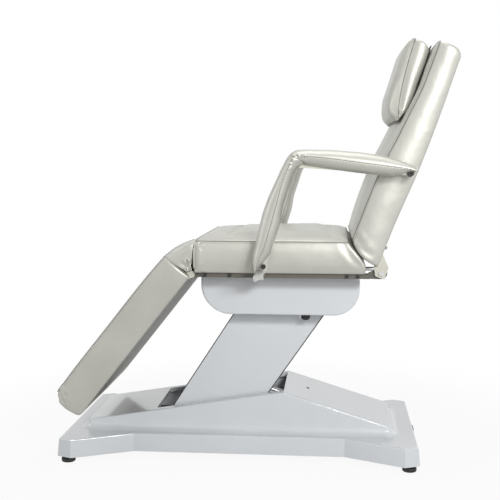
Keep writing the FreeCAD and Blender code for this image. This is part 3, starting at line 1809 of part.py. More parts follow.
def cushion_loft(name, place, half_width, border, low, frame):
    """A cushion's soft form: a crowned top panel, a border roll, grooves and drawn-in sides."""
    wires = []
    width = number(half_width)
    margin = number(border)
    groove = number("groove_width")
    depth = number("groove_depth")
    bulge = number("side_bulge")
    floor = number(low)
    for station in STATIONS[name]:
        along, seam, roll, crown = [
            number(f"{name}_{station}_{part}") for part in ("along", "seam", "border", "crown")
        ]
        corner = (width, seam)
        edge_in = (width - margin, seam + roll)
        valley = (width - margin - groove / 2, seam + roll - min(depth, roll / 2))
        panel = (width - margin - groove, seam + roll)
        half = [
            ((width, floor), (width + bulge, (floor + seam) / 2), corner),
            (corner, (width - margin / 2, seam + roll * BORDER_SWELL_SHARE), edge_in),
            (edge_in, valley),
            (valley, panel),
        ]
        edges = []
        for sign in (1, -1):
            for stretch in half:
                points = [place(along, sign * across, height) for across, height in stretch]
                edges.append(Part.Arc(*points).toShape() if len(points) == 3 else Part.makeLine(*points))
        crest = [place(along, panel[0], panel[1]), place(along, 0, seam + crown), place(along, -panel[0], panel[1])]
        edges.append(Part.Arc(*crest).toShape())
        edges.append(Part.makeLine(place(along, width, floor), place(along, -width, floor)))
        wires.append(Part.Wire(Part.__sortEdges__(edges)))
    soft = doc.addObject("Part::Feature", name + "_soft")
    soft.Shape = Part.makeLoft(wires, True, True)
    soft.setExpression("Placement", place_text(frame[0], "0", frame[1], frame[2]))
    return soft


def cushion(name, half_width, border, low, frame, place, profile, recess):
    """Trim a cushion's soft form to its side outline and cut what it is fixed over."""
    soft = cushion_loft(name, place, half_width, border, low, frame)
    thickness = f"2 * ({half_width} + side_bulge + overrun)"
    outline = prism(name + "_outline_block", frame, "0", thickness, profile)
    trimmed = common(name + "_trimmed", soft, outline)
    return cut(name + "_cushion_cut", trimmed, *recess)


def seat_top():
    """The seat cushion on its board."""
    board = box(
        "seat_board",
        "seat_board_front_x",
        "-board_half_width",
        "rail_top_z",
        "seat_board_rear_x - seat_board_front_x",
        "2 * board_half_width",
        "board_thickness",
    )
    node("seat_board", board)
    recess = box(
        "seat_recess",
        "seat_board_front_x - soft_gap",
        "-recess_half_width",
        "rail_top_z - overrun",
        "seat_board_rear_x - seat_board_front_x + 2 * soft_gap",
        "2 * recess_half_width",
        "board_thickness + overrun + soft_gap",
    )
    top = "seat_middle_seam + crown_room"
    profile = [
        ("seat_front_x", "seat_bottom_z"),
        ("seat_front_bulge_x", "seat_front_bulge_z", "round"),
        ("seat_front_top_x", "seat_front_top_z"),
        ("seat_front_round_x", "seat_front_round_z", "round"),
        ("seat_front_end_x", "seat_front_end_z"),
        ("seat_front_end_x", top),
        ("seat_rear_top_x", top),
        ("seat_rear_top_x", "seat_rear_top_z"),
        ("seat_rear_bend_x", "seat_rear_bend_z"),
        ("seat_rear_waist_x", "seat_rear_waist_z"),
        ("seat_rear_x", "seat_rear_z"),
        ("seat_rear_arc_x", "seat_rear_arc_z", "round"),
        ("seat_rear_low_x", "seat_bottom_z"),
    ]
    pieces = cushion(
        "seat",
        "cushion_half_width",
        "border_width",
        "seat_bottom_z - overrun",
        WORLD,
        lambda along, across, height: FreeCAD.Vector(along, across, height),
        profile,
        [recess],
    )
    channels = []
    for x in ("seat_thigh_along", "seat_hip_along"):
        channels.append(
            prism(
                x + "_channel",
                WORLD,
                "0",
                "2 * (cushion_half_width - border_width)",
                [
                    (f"{x} - seat_channel_half", "seat_middle_seam + crown_room"),
                    (f"{x} - seat_channel_half", "seat_thigh_seam + seat_thigh_crown"),
                    (x, "seat_thigh_seam + seat_thigh_border"),
                    (f"{x} + seat_channel_half", "seat_thigh_seam + seat_thigh_crown"),
                    (f"{x} + seat_channel_half", "seat_middle_seam + crown_room"),
                ],
            )
        )
    node("seat_cushion", cut("seat_channels", pieces, *channels))


def back():
    """The back: frame with torsion tube and crank, board, cushion, rear panel and small fittings."""
    outer = "(back_frame_outer_y - back_frame_thickness / 2)"
    inner = "(back_frame_outer_y - back_frame_thickness)"
    front = "(back_recess_depth - board_thickness)"
    pieces = [crosswise("back_torsion", "torsion_radius", "0", "0", f"-{inner}", f"2 * {inner}", BACK)]
    for side in (-1, 1):
        pieces.append(
            prism(
                f"back_bar_{side + 1}",
                BACK,
                f"{side} * {outer}",
                "back_frame_thickness",
                [
                    (f"-{front}", "back_bar_top"),
                    ("-back_bar_rear", "back_bar_top"),
                    ("-back_bar_rear", "back_bar_low"),
                    ("back_plate_rear", "back_bar_rear"),
                    ("back_plate_rear", "-back_plate_low"),
                    ("-back_plate_rear", "-back_plate_low"),
                    (f"-{front}", f"{front}"),
                ],
            )
        )
    for index, along in enumerate(("back_cross_low", "back_cross_high")):
        pieces.append(
            prism(
                f"back_cross_{index}",
                BACK,
                "0",
                f"2 * {inner}",
                box_path(f"-{front}", f"{along} - back_cross_half", "-back_bar_rear", f"{along} + back_cross_half"),
            )
        )
    pieces += drive_crank("back_crank", ("back_pivot_x", "back_pivot_z"), "270 + back_range / 2", "back_crank")
    node("back_frame", fuse("back_frame_whole", pieces))
    board = prism(
        "back_board_plate",
        BACK,
        "0",
        "2 * board_half_width",
        box_path("soft_gap - back_recess_depth", "back_board_low", f"-{front}", "back_recess_top - soft_gap"),
    )
    node("back_board", board)
    rear = [
        ("-back_rear_low_depth", "back_panel_low"),
        ("-back_rear_low_depth", "back_rear_bend"),
        ("-back_rear_middle_depth", "back_rear_middle"),
        ("-back_rear_middle_depth", "back_rear_high"),
        ("-back_rear_top_depth", "back_recess_top - soft_gap"),
    ]
    skin = rear + [(f"{v} - back_panel_thickness", u) for v, u in rear[::-1]]
    node("back_panel", prism("back_panel_sheet", BACK, "0", "2 * board_half_width", skin))
    recess = prism(
        "back_recess",
        BACK,
        "0",
        "2 * recess_half_width",
        box_path("-back_recess_depth", "-overrun", "overrun", "back_recess_top"),
    )
    bolt_hole = crosswise(
        "back_bolt_hole",
        "rest_bolt_radius + open_clearance",
        "rest_pivot_x",
        "rest_pivot_z",
        "-rest_inner_y",
        "2 * rest_inner_y",
    )
    crown_front = "-back_hem_front - crown_room"
    profile = [
        ("-back_heel_rear", "back_heel_low"),
        ("-back_rear_low_depth", "back_rear_low"),
        ("-back_rear_low_depth", "back_rear_bend"),
        ("-back_rear_middle_depth", "back_rear_middle"),
        ("-back_rear_middle_depth", "back_rear_high"),
        ("-back_rear_top_depth", "back_rear_top"),
        ("-back_top_front", "back_top"),
        (crown_front, "back_top"),
        (crown_front, "back_hem"),
        ("-back_hem_front", "back_hem"),
        ("-back_hem_bend_front", "back_hem_bend"),
        ("-back_heel_front", "back_heel"),
        ("-back_heel_low_front", "back_heel_low"),
    ]
    node(
        "back_cushion",
        cushion(
            "back",
            "cushion_half_width",
            "border_width",
            "-overrun",
            BACK,
            lambda along, across, height: FreeCAD.Vector(-height, across, along),
            profile,
            [recess, bolt_hole],
        ),
    )
    node(
        "back_loop_pad",
        prism(
            "loop_pad",
            BACK,
            "0",
            "2 * loop_half_width",
            box_path("-loop_rear - loop_thickness", "loop_low", "-loop_rear", "loop_high"),
        ),
    )
    caps = []
    bolts = []
    for side in (-1, 1):
        low_y = "back_frame_outer_y" if side > 0 else "-back_frame_outer_y - cap_height"
        caps.append(crosswise(f"hinge_cap_{side + 1}", "cap_radius", "0", "0", low_y, "cap_height", BACK))
        cap_inner = "(pad_core_outer_y + core_fit)"
        low_y = "back_frame_outer_y" if side > 0 else f"-{cap_inner}"
        reach = f"{cap_inner} - back_frame_outer_y"
        shank = crosswise(
            f"arm_bolt_{side + 1}", "rest_bolt_radius", "rest_pivot_x", "rest_pivot_z", low_y, reach
        )
        low_y = cap_inner if side > 0 else f"-{cap_inner} - rest_cap_height"
        cap = crosswise(
            f"arm_bolt_cap_{side + 1}", "rest_cap_radius", "rest_pivot_x", "rest_pivot_z", low_y, "rest_cap_height"
        )
        bolts.append(fuse(f"arm_bolt_whole_{side + 1}", [shank, cap]))
    node("arm_bolts", group("arm_bolts", bolts))
    caps.append(
        lengthwise(
            "back_button",
            "back_button_radius",
            "back_pivot_x + back_button * sin(back_tilt) - back_rear_low_depth * cos(back_tilt)",
            "back_button_y",
            "back_pivot_z + back_button * cos(back_tilt) + back_rear_low_depth * sin(back_tilt)",
            "back_button_height",
            "back_tilt",
        )
    )
    node("back_caps", group("back_caps", caps))


def head():
    """The head cushion and its hook pad, which slides up the back's loop pad."""
    crown_front = "-head_face_seam - 2 * crown_room"
    profile = [
        ("-head_tuck_rear", "head_tuck"),
        ("-head_rear", "head_straight"),
        ("-head_rear", "head_top_bend"),
        ("-head_top_rear", "head_high"),
        (crown_front, "head_high"),
        (crown_front, "head_low"),
        ("-head_low_front", "head_low"),
    ]
    node(
        "head_cushion",
        cushion(
            "head",
            "head_half_width",
            "head_border",
            "head_rear - overrun",
            BACK,
            lambda along, across, height: FreeCAD.Vector(-height, across, along),
            profile,
            [],
        ),
    )
    node(
        "head_hook_pad",
        prism(
            "hook_pad",
            BACK,
            "0",
            "2 * loop_half_width",
            box_path("-hook_rear - hook_thickness", "hook_low", "-hook_rear", "hook_high"),
        ),
    )


def leg():
    """The leg rest: frame with torsion tube and crank, cushion and under panel."""
    outer = "(back_frame_outer_y - back_frame_thickness / 2)"
    inner = "(back_frame_outer_y - back_frame_thickness)"
    pieces = [crosswise("leg_torsion", "leg_torsion_radius", "0", "0", f"-{inner}", f"2 * {inner}", LEG)]
    for side in (-1, 1):
        pieces.append(
            prism(
                f"leg_bar_{side + 1}",
                LEG,
                f"{side} * {outer}",
                "back_frame_thickness",
                [
                    ("-leg_bar_end", "leg_bar_low"),
                    ("-leg_bar_end", "leg_bar_top"),
                    ("-leg_bar_top", "leg_bar_top"),
                    ("0", "leg_plate_radius"),
                    ("leg_plate_radius", "0", "round"),
                    ("0", "-leg_plate_radius"),
                    ("-leg_bar_top", "leg_bar_low"),
                ],
            )
        )
    for index, along in enumerate(("leg_cross_one", "leg_cross_two")):
        pieces.append(
            prism(
                f"leg_cross_{index}",
                LEG,
                "0",
                f"2 * {inner}",
                box_path(f"-{along} - leg_cross_half", "leg_bar_low", f"-{along} + leg_cross_half", "leg_bar_top"),
            )
        )
    pieces += drive_crank("leg_crank", ("leg_pivot_x", "leg_pivot_z"), "270 + leg_range / 2", "leg_crank")
    node("leg_frame", fuse("leg_frame_whole", pieces))
    recess = prism(
        "leg_recess",
        LEG,
        "0",
        "2 * recess_half_width",
        box_path("-leg_recess_end", "-overrun", "overrun", "leg_recess"),
    )
    crown_top = "leg_start_seam + crown_room"
    profile = [
        ("-leg_start", "-leg_under"),
        ("-leg_start_top", "leg_start_seam"),
        ("-leg_start_top", crown_top),
        ("-leg_bend", crown_top),
        ("-leg_bend", "leg_bend_height"),
        ("-leg_slope", "leg_slope_height"),
        ("-leg_tip", "leg_tip_height"),
        ("-leg_tip", "leg_tip_low"),
        ("-leg_end", "-leg_under"),
    ]
    node(
        "leg_cushion",
        cushion(
            "leg",
            "cushion_half_width",
            "border_width",
            "-overrun",
            LEG,
            lambda along, across, height: FreeCAD.Vector(-along, across, height),
            profile,
            [recess],
        ),
    )
    node(
        "leg_panel",
        prism(
            "leg_panel_sheet",
            LEG,
            "0",
            "2 * board_half_width",
            box_path(
                "soft_gap - leg_recess_end", "leg_bar_low - leg_panel_thickness", "-leg_panel_start", "leg_bar_low"
            ),
        ),
    )


def knee_flap():
    """The vinyl flap that bridges from the seat to the leg rest."""
    line = [(f"flap_{name}_x", f"flap_{name}_z") for name in ("start", "low", "middle", "high", "top", "end")]
    under = [
        (f"{x} + flap_thickness * sin(flap_lean)", f"{z} - flap_thickness * cos(flap_lean)")
        for x, z in line[::-1]
    ]
    node("knee_flap", prism("knee_flap_sheet", WORLD, "0", "2 * flap_half_width", line + under))


def rest_arc(radius, angle):
    """A point on a circle about the elbow."""
    return (f"elbow_x + ({radius}) * cos({angle})", f"elbow_z + ({radius}) * sin({angle})")


def elbow_room(name, middle):
    """The room in a strut's head that the pad's core turns through as the back reclines."""
    thickness = "core_thickness + 2 * core_fit"
    reach = "3 * strut_half"
    first = "-pad_lean"
    last = "back_range - pad_lean"
    wedge = prism(
        f"elbow_wedge_{name}",
        WORLD,
        middle,
        thickness,
        [
            ("elbow_x", "elbow_z"),
            rest_arc(reach, first),
            rest_arc(reach, f"({first} + {last}) / 2") + ("round",),
            rest_arc(reach, last),
        ],
    )
    grown = "(core_half + core_fit)"
    far = prism(
        f"elbow_far_{name}",
        ("elbow_x", "elbow_z", f"-({last})"),
        middle,
        thickness,
        box_path("0", f"-{grown}", reach, grown),
    )
    return [wedge, far]


def armrests():
    """Each armrest is a pad and a strut over flat steel cores, joined at the elbow."""
    middle = "core_y"
    width = "rest_width"
    near = number("edge_tolerance")
    notch = "strut_half + knuckle_gap"
    pad_path = [
        rest_arc(notch, "pad_nose_angle"),
        ("pad_nose_x", "pad_nose_z"),
        ("pad_middle_x", "pad_middle_z", "round"),
        ("pad_rear_x", "pad_rear_z"),
        ("pad_tip_x", "pad_tip_z"),
        ("pad_heel_x", "pad_heel_z"),
        ("pad_under_x", "pad_under_z"),
        ("pad_elbow_x", "pad_elbow_z"),
        rest_arc(notch, "0"),
        rest_arc(notch, "pad_nose_angle / 2") + ("round",),
    ]
    strut_path = [
        ("strut_low_x", "strut_low_z"),
        rest_arc("strut_half", "strut_left_angle"),
        rest_arc("strut_half", "strut_left_angle / 2") + ("round",),
        rest_arc("strut_half", "0"),
        ("strut_shoulder_x", "strut_shoulder_z"),
        ("strut_back_x", "strut_back_z"),
        ("strut_heel_x", "strut_heel_z"),
        ("strut_foot_x", "strut_foot_z"),
        ("strut_tip_x", "strut_tip_z"),
    ]
    pad_length = "((rest_pivot_x - elbow_x) / cos(pad_lean))"
    strut_length = "((rest_pivot_z - back_pivot_z) / sin(strut_lean))"
    elbow = [number(text) for text in ("elbow_x", "elbow_z", "strut_half + knuckle_gap + pad_side_round")]
    brackets = []
    knobs = []
    bolts = []
    for side, name in SIDES:
        layout = (
            ("arm_pad", pad_path, "pad_side_round", 1, ("elbow_x", "elbow_z", "pad_lean"), pad_length),
            (
                "strut",
                strut_path,
                "strut_side_round",
                -1,
                ("strut_pivot_x", "strut_pivot_z", "-strut_lean"),
                strut_length,
            ),
        )
        for part, path, soften, step, frame, length in layout:
            core_middle = f"{side} * (core_y + {step} * (core_gap + core_thickness) / 2)"
            shapes = []
            for kind, grow, thickness in (
                ("core", "0", "core_thickness"),
                ("hollow", "core_fit", "core_thickness + 2 * core_fit"),
            ):
                bar = prism(
                    f"{part}_{kind}_{name}",
                    frame,
                    core_middle,
                    thickness,
                    box_path("0", f"-core_half - {grow}", length, f"core_half + {grow}"),
                )
                eyes = [
                    crosswise(
                        f"{part}_{kind}_{name}_eye_{end}",
                        f"core_eye_radius + {grow}",
                        at,
                        "0",
                        f"{core_middle} - ({thickness}) / 2",
                        thickness,
                        frame,
                    )
                    for end, at in (("a", "0"), ("b", length))
                ]
                shapes.append(fuse(f"{part}_{kind}_{name}_whole", [bar] + eyes))
            pad = prism(f"{part}_{name}_soft", WORLD, f"{side} * {middle}", width, path)
            low = number(f"({side}) * {middle} - ({width}) / 2")
            high = number(f"({side}) * {middle} + ({width}) / 2")

            def is_outline(edge):
                reach = edge.BoundBox
                on_side = reach.YLength < near and min(abs(reach.YMin - low), abs(reach.YMin - high)) < near
                away = math.hypot(edge.CenterOfMass.x - elbow[0], edge.CenterOfMass.z - elbow[1])
                return on_side and (part == "strut" or away > elbow[2])

            pad = rounded(f"{part}_{name}_rounded", pad, soften, is_outline)
            pivot = ("rest_pivot_x", "rest_pivot_z") if part == "arm_pad" else ("strut_pivot_x", "strut_pivot_z")
            elbow_side = "elbow_pin_radius + open_clearance"
            bolt_bore = crosswise(
                f"{part}_{name}_bolt_bore",
                "rest_bolt_radius + open_clearance",
                pivot[0],
                pivot[1],
                f"{side} * {middle} - ({width}) / 2",
                width,
            )
            elbow_bore = crosswise(
                f"{part}_{name}_elbow_bore",
                elbow_side,
                "elbow_x",
                "elbow_z",
                f"{side} * core_y - core_gap - core_thickness",
                "2 * (core_gap + core_thickness)",
            )
            bolt_hole = crosswise(
                f"{part}_{name}_bolt_hole",
                "rest_bolt_radius + fit_clearance",
                pivot[0],
                pivot[1],
                f"{core_middle} - core_thickness",
                "2 * core_thickness",
            )
            room = elbow_room(name, core_middle) if part == "arm_pad" else room + [pad_hollow]
            pad_hollow = shapes[1] if part == "arm_pad" else pad_hollow
            head = "rest_cap_radius" if part == "arm_pad" else "knob_radius"
            core_outer = "pad_core_outer_y" if part == "arm_pad" else "strut_core_outer_y"
            head_reach = f"rest_outer_y - {core_outer}"
            head_low = core_outer if side > 0 else "-rest_outer_y"
            head_room = crosswise(
                f"{part}_{name}_head_room", f"{head} + open_clearance", *pivot, head_low, head_reach
            )
            hollows = [shapes[1], bolt_bore, elbow_bore, head_room] + (room if part == "strut" else [])
            node(f"{part}_{name}", cut(f"{part}_{name}_cut", pad, *hollows))
            core = cut(f"{part}_core_{name}_cut", shapes[0], bolt_hole)
            if part == "arm_pad":
                peg = crosswise(
                    f"elbow_pin_{name}",
                    "elbow_pin_radius",
                    "elbow_x",
                    "elbow_z",
                    f"{side} * core_y - core_gap / 2 - core_thickness",
                    "core_gap + 2 * core_thickness",
                )
                core = fuse(f"{part}_core_{name}_pinned", [core, peg])
            else:
                core = cut(f"{part}_core_{name}_bored", core, elbow_bore)
            node(f"{part}_core_{name}", core)
        bar = box(
            f"bracket_bar_{name}",
            "bracket_front_x",
            "rail_outer_y" if side > 0 else "-bracket_outer_y",
            "bracket_bar_low_z",
            "bracket_bar_rear_x - bracket_front_x",
            "bracket_outer_y - rail_outer_y",
            "bracket_bar_high_z - bracket_bar_low_z",
        )
        foot = box(
            f"bracket_foot_{name}",
            "bracket_front_x",
            "rail_inner_y" if side > 0 else "-rail_outer_y - bracket_foot_reach",
            "rail_bottom_z - bracket_foot_thickness",
            "bracket_bar_rear_x - bracket_front_x",
            "seat_rail_width + bracket_foot_reach",
            "bracket_foot_thickness",
        )
        plate = prism(
            f"bracket_plate_{name}",
            WORLD,
            f"{side} * (bracket_plate_y + bracket_plate_thickness / 2)",
            "bracket_plate_thickness",
            [
                ("bracket_plate_front", "bracket_plate_top"),
                ("bracket_rear_x", "bracket_plate_top"),
                ("bracket_knee_x", "bracket_knee_z"),
                ("bracket_low_x", "bracket_bar_low_z"),
                ("bracket_tip_x", "bracket_tip_z"),
                ("bracket_nose_x", "bracket_nose_z"),
            ],
        )
        brackets.append(fuse(f"bracket_{name}", [bar, foot, plate]))
        pivot = ("strut_pivot_x", "strut_pivot_z")
        knob_inner = "(strut_core_outer_y + core_fit)"
        knob_low = knob_inner if side > 0 else f"-({knob_inner} + knob_height)"
        knobs.append(crosswise(f"knob_{name}", "knob_radius", *pivot, knob_low, "knob_height"))
        bolt_low = "bracket_outer_y" if side > 0 else f"-{knob_inner}"
        reach = f"{knob_inner} - bracket_outer_y"
        bolts.append(crosswise(f"strut_bolt_{name}", "rest_bolt_radius", *pivot, bolt_low, reach))
    node("arm_brackets", group("arm_brackets", brackets))
    node("arm_knobs", group("arm_knobs", knobs))
    node("strut_bolts", group("strut_bolts", bolts))


base_cover()
base_frame()
feet()
lift_brackets()
link_bracket()
motor_beam()
lift_motor()
lift_rod()
cover_fixing()
mains_inlet()
arm_frame()
arm_covers()
link_bars()
seat_frame()
seat_housing()
side_drives()
seat_top()
back()
head()
leg()
knee_flap()
armrests()
doc.recompute()

for thing in doc.Objects:
    if "Invalid" in thing.State or "Error" in thing.State:
        raise ValueError(f"{thing.Name} is not in order: {thing.State}")
os.makedirs("parts", exist_ok=True)
for label, thing in nodes.items():
    shape = thing.Shape
    if shape.isNull() or not shape.isValid() or not shape.Solids:
        raise ValueError(f"{label} has no sound shape")
    shape.exportStep(f"parts/{label}.step")
    print(label, len(shape.Solids), round(shape.Volume))
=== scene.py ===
import math

import bpy
import numpy as np
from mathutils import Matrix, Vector


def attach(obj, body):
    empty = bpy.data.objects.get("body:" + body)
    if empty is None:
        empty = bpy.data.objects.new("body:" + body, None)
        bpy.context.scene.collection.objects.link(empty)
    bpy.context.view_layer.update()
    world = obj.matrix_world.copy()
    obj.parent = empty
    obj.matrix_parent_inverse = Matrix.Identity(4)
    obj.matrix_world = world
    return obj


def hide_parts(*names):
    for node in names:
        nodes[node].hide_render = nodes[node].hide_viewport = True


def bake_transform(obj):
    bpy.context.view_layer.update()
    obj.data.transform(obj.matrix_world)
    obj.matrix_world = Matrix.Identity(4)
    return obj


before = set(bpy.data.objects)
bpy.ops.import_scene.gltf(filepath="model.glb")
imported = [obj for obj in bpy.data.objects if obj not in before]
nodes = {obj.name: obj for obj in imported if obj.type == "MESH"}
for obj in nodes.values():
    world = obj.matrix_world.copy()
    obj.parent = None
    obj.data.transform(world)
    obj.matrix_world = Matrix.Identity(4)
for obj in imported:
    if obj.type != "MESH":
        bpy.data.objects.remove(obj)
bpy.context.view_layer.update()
print("stage: frame loaded,", len(nodes), "nodes")

# the photo's camera: metres, radians and mm of lens
view = {
    "place": (0.2393, -2.9678, 0.9272),
    "pitch": 0.09738,
    "yaw": 0.0908,
    "lens": 66.2,
    "sensor": 36.0,
    "clipEnd": 60,
}


def addCamera():
    turn = (math.pi / 2 - view["pitch"], 0, view["yaw"])
    bpy.ops.object.camera_add(location=view["place"], rotation=turn)
    cam = bpy.context.object
    cam.name = "studioCamera"
    cam.data.lens = view["lens"]
    cam.data.sensor_width = view["sensor"]
    cam.data.clip_end = view["clipEnd"]
    bpy.context.scene.camera = cam
    bpy.context.scene.view_settings.view_transform = "Standard"


studio = {
    "world": 0.22,
    "worldColour": (0.90, 0.95, 1.0, 1),
    "floor": 9.0,
    "floorColour": (0.55, 0.55, 0.55, 1),
    "clearFrom": 0.7,  # metres from the middle at which the floor starts to fade to plain white
    "clearTo": 1.5,
    "clearLeast": 0.93,  # how near to plain white the floor is under the chair
    "lamps": {
        "keySoftbox": {"place": (1.45, -3.05, 1.98), "aim": (0.1, 0, 0.55), "size": (1.0, 0.5), "power": 66},
        "cameraSoftbox": {"place": (0.9, -2.75, 1.25), "aim": (0.3, 0, 0.9), "size": (0.5, 0.5), "power": 12},
        "topSoftbox": {"place": (0.1, -0.1, 3.2), "aim": (0, 0, 0.5), "size": (2.2, 1.4), "power": 32},
        "rearSoftbox": {"place": (2.6, 1.4, 1.6), "aim": (0.2, 0, 0.6), "size": (1.4, 1.8), "power": 12},
        "footSoftbox": {"place": (-2.9, -0.6, 1.8), "aim": (-0.1, 0, 0.7), "size": (1.4, 1.6), "power": 16},
    },
}


def clearRays(tree, rays):
    # rays that see the plain white background: the camera's, and those that gloss and glass send on
    either = tree.nodes.new("ShaderNodeMath")
    either.operation = "MAXIMUM"
    either.use_clamp = True
    tree.links.new(rays.outputs["Is Camera Ray"], either.inputs[0])
    tree.links.new(rays.outputs["Is Glossy Ray"], either.inputs[1])
    clear = tree.nodes.new("ShaderNodeMath")
    clear.operation = "MAXIMUM"
    tree.links.new(either.outputs["Value"], clear.inputs[0])
    tree.links.new(rays.outputs["Is Transmission Ray"], clear.inputs[1])
    return clear.outputs["Value"]


def addFloor():
    bpy.ops.object.select_all(action="DESELECT")
    bpy.ops.mesh.primitive_plane_add(size=studio["floor"], location=(0, 0, 0))
    floor = bpy.context.object
    floor.name = "studioFloor"
    mat = bpy.data.materials.new("paleFloor")
    mat.use_nodes = True
    tree = mat.node_tree
    tree.nodes.clear()
    out = tree.nodes.new("ShaderNodeOutputMaterial")
    mix = tree.nodes.new("ShaderNodeMixShader")
    soft = tree.nodes.new("ShaderNodeBsdfDiffuse")
    soft.inputs["Color"].default_value = studio["floorColour"]
    bright = tree.nodes.new("ShaderNodeEmission")
    bright.inputs["Strength"].default_value = 1.0
    rays = tree.nodes.new("ShaderNodeLightPath")
    coords = tree.nodes.new("ShaderNodeTexCoord")
    length = tree.nodes.new("ShaderNodeVectorMath")
    length.operation = "LENGTH"
    fade = tree.nodes.new("ShaderNodeMapRange")
    fade.interpolation_type = "SMOOTHSTEP"
    fade.inputs["From Min"].default_value = studio["clearFrom"]
    fade.inputs["From Max"].default_value = studio["clearTo"]
    fade.inputs["To Min"].default_value = studio["clearLeast"]
    fade.inputs["To Max"].default_value = 1.0
    seen = tree.nodes.new("ShaderNodeMath")
    seen.operation = "MULTIPLY"
    tree.links.new(coords.outputs["Object"], length.inputs[0])
    tree.links.new(length.outputs["Value"], fade.inputs["Value"])
    tree.links.new(fade.outputs["Result"], seen.inputs[0])
    tree.links.new(clearRays(tree, rays), seen.inputs[1])
    tree.links.new(seen.outputs["Value"], mix.inputs["Fac"])
    tree.links.new(soft.outputs["BSDF"], mix.inputs[1])
    tree.links.new(bright.outputs["Emission"], mix.inputs[2])
    tree.links.new(mix.outputs["Shader"], out.inputs["Surface"])
    floor.data.materials.append(mat)


def addWorld():
    world = bpy.data.worlds.new("studioWorld")
    bpy.context.scene.world = world
    world.use_nodes = True
    tree = world.node_tree
    tree.nodes.clear()
    out = tree.nodes.new("ShaderNodeOutputWorld")
    back = tree.nodes.new("ShaderNodeBackground")
    lit = tree.nodes.new("ShaderNodeBackground")
    lit.inputs["Color"].default_value = (1, 1, 1, 1)
    lit.inputs["Strength"].default_value = 1.0
    back.inputs["Color"].default_value = studio["worldColour"]
    back.inputs["Strength"].default_value = studio["world"]
    rays = tree.nodes.new("ShaderNodeLightPath")
    mix = tree.nodes.new("ShaderNodeMixShader")
    tree.links.new(clearRays(tree, rays), mix.inputs["Fac"])
    tree.links.new(back.outputs["Background"], mix.inputs[1])
    tree.links.new(lit.outputs["Background"], mix.inputs[2])
    tree.links.new(mix.outputs["Shader"], out.inputs["Surface"])


def addLamps():
    for name, lamp in studio["lamps"].items():
        bpy.ops.object.light_add(type="AREA", location=lamp["place"])
        box = bpy.context.object
        box.name = name
        box.data.shape = "RECTANGLE"
        box.data.size, box.data.size_y = lamp["size"]
        box.data.energy = lamp["power"]
        aim = Vector(lamp["aim"]) - Vector(lamp["place"])
        box.rotation_euler = aim.to_track_quat("-Z", "Y").to_euler()


addCamera()
addFloor()
addWorld()
addLamps()
print("stage: camera, floor and softboxes")

# each finish: the record's slot, colour and roughness, then its grain's scale, depth and contrast
finishes = {
    "pearlVinyl": {
        "slot": "vinyl",
        "colour": (0.50, 0.496, 0.452),
        "dark": (0.462, 0.457, 0.412),
        "rough": 0.41,
        "smoother": 0.05,
        "rougher": 0.08,
        "metal": 0.44,
        "coat": 0.12,
        "coatRough": 0.22,
        "cloud": 7.0,
        "cloudDetail": 4.0,
        "fineDetail": 2.0,
        # scale, depth and strength of three reliefs
        "foamWave": (16, 0.0035, 0.5),
        "leatherCells": (620, 0.0004, 0.10),  # cells of about 1.6 mm
        "pearlFleck": (1500, 0.0002, 0.10),
    },
    "vinylSeam": {
        "slot": "vinyl", "colour": (0.14, 0.13, 0.11), "rough": 0.7,
        "scale": 900, "bump": 0.0003, "contrast": 0.3,
    },
    "stitchThread": {
        "slot": "vinyl", "colour": (0.09, 0.085, 0.07), "rough": 0.6,
        "scale": 1400, "bump": 0.0002, "contrast": 0.3,
    },
    "glossyWhite": {
        "slot": "white_plastic", "colour": (0.70, 0.72, 0.737), "rough": 0.15,
        "scale": 5, "bump": 0.0010, "contrast": 0.03, "coat": 0.5,
    },
    "darkTrim": {
        "slot": "dark_trim", "colour": (0.02, 0.02, 0.022), "rough": 0.45,
        "scale": 400, "bump": 0.0002, "contrast": 0.2,
    },
    "blackRubber": {
        "slot": "black_rubber", "colour": (0.012, 0.012, 0.012), "rough": 0.6,
        "scale": 500, "bump": 0.0004, "contrast": 0.4,
    },
    "beigeSteel": {
        "slot": "beige_steel", "colour": (0.62, 0.60, 0.52), "rough": 0.4,
        "scale": 260, "bump": 0.0003, "contrast": 0.08,
    },
    # white painted steel of the armrest brackets, its colour greyed below white as painted shade for their
    # lower tips under the seat
    "shadeGreyedWhiteSteel": {
        "slot": "white_steel", "colour": (0.55, 0.55, 0.52), "rough": 0.35,
        "scale": 260, "bump": 0.0003, "contrast": 0.06,
    },
    "railSteel": {
        "slot": "grey_steel", "colour": (0.13, 0.12, 0.10), "rough": 0.45,
        "scale": 240, "bump": 0.0003, "contrast": 0.2,
    },
    "greySteel": {
        "slot": "grey_steel", "colour": (0.045, 0.047, 0.055), "rough": 0.5,
        "scale": 220, "bump": 0.0003, "contrast": 0.2,
    },
    "darkSteel": {
        "slot": "steel", "colour": (0.05, 0.05, 0.05), "rough": 0.35,
        "scale": 300, "bump": 0.0002, "contrast": 0.3, "metal": 0.8,
    },
    "brightSteel": {
        "slot": "steel", "colour": (0.58, 0.58, 0.58), "rough": 0.3,
        "scale": 160, "bump": 0.0002, "contrast": 0.15, "metal": 1.0, "stretch": (1, 1, 14),
    },
    "motorPlastic": {
        "slot": "motor_plastic", "colour": (0.03, 0.03, 0.032), "rough": 0.5,
        "scale": 600, "bump": 0.0003, "contrast": 0.25,
    },
    "plywood": {
        "slot": "plywood", "colour": (0.46, 0.33, 0.19), "rough": 0.65,
        "scale": 30, "bump": 0.0004, "contrast": 0.38, "stretch": (1.0, 9.0, 9.0),
        "detail": 5.0, "relief": 0.4,
    },
    "hookAndLoop": {
        "slot": "loop_fabric", "colour": (0.01, 0.01, 0.01), "rough": 0.95,
        "scale": 1100, "bump": 0.0012, "contrast": 0.6,
    },
    "greyPanel": {
        "slot": "panel_plastic", "colour": (0.20, 0.19, 0.165), "rough": 0.5,
        "scale": 300, "bump": 0.0004, "contrast": 0.12,
    },
}

# what the plain finishes share
plain = {"detail": 4.0, "relief": 0.35, "coatRough": 0.06, "roughSwing": 0.15}

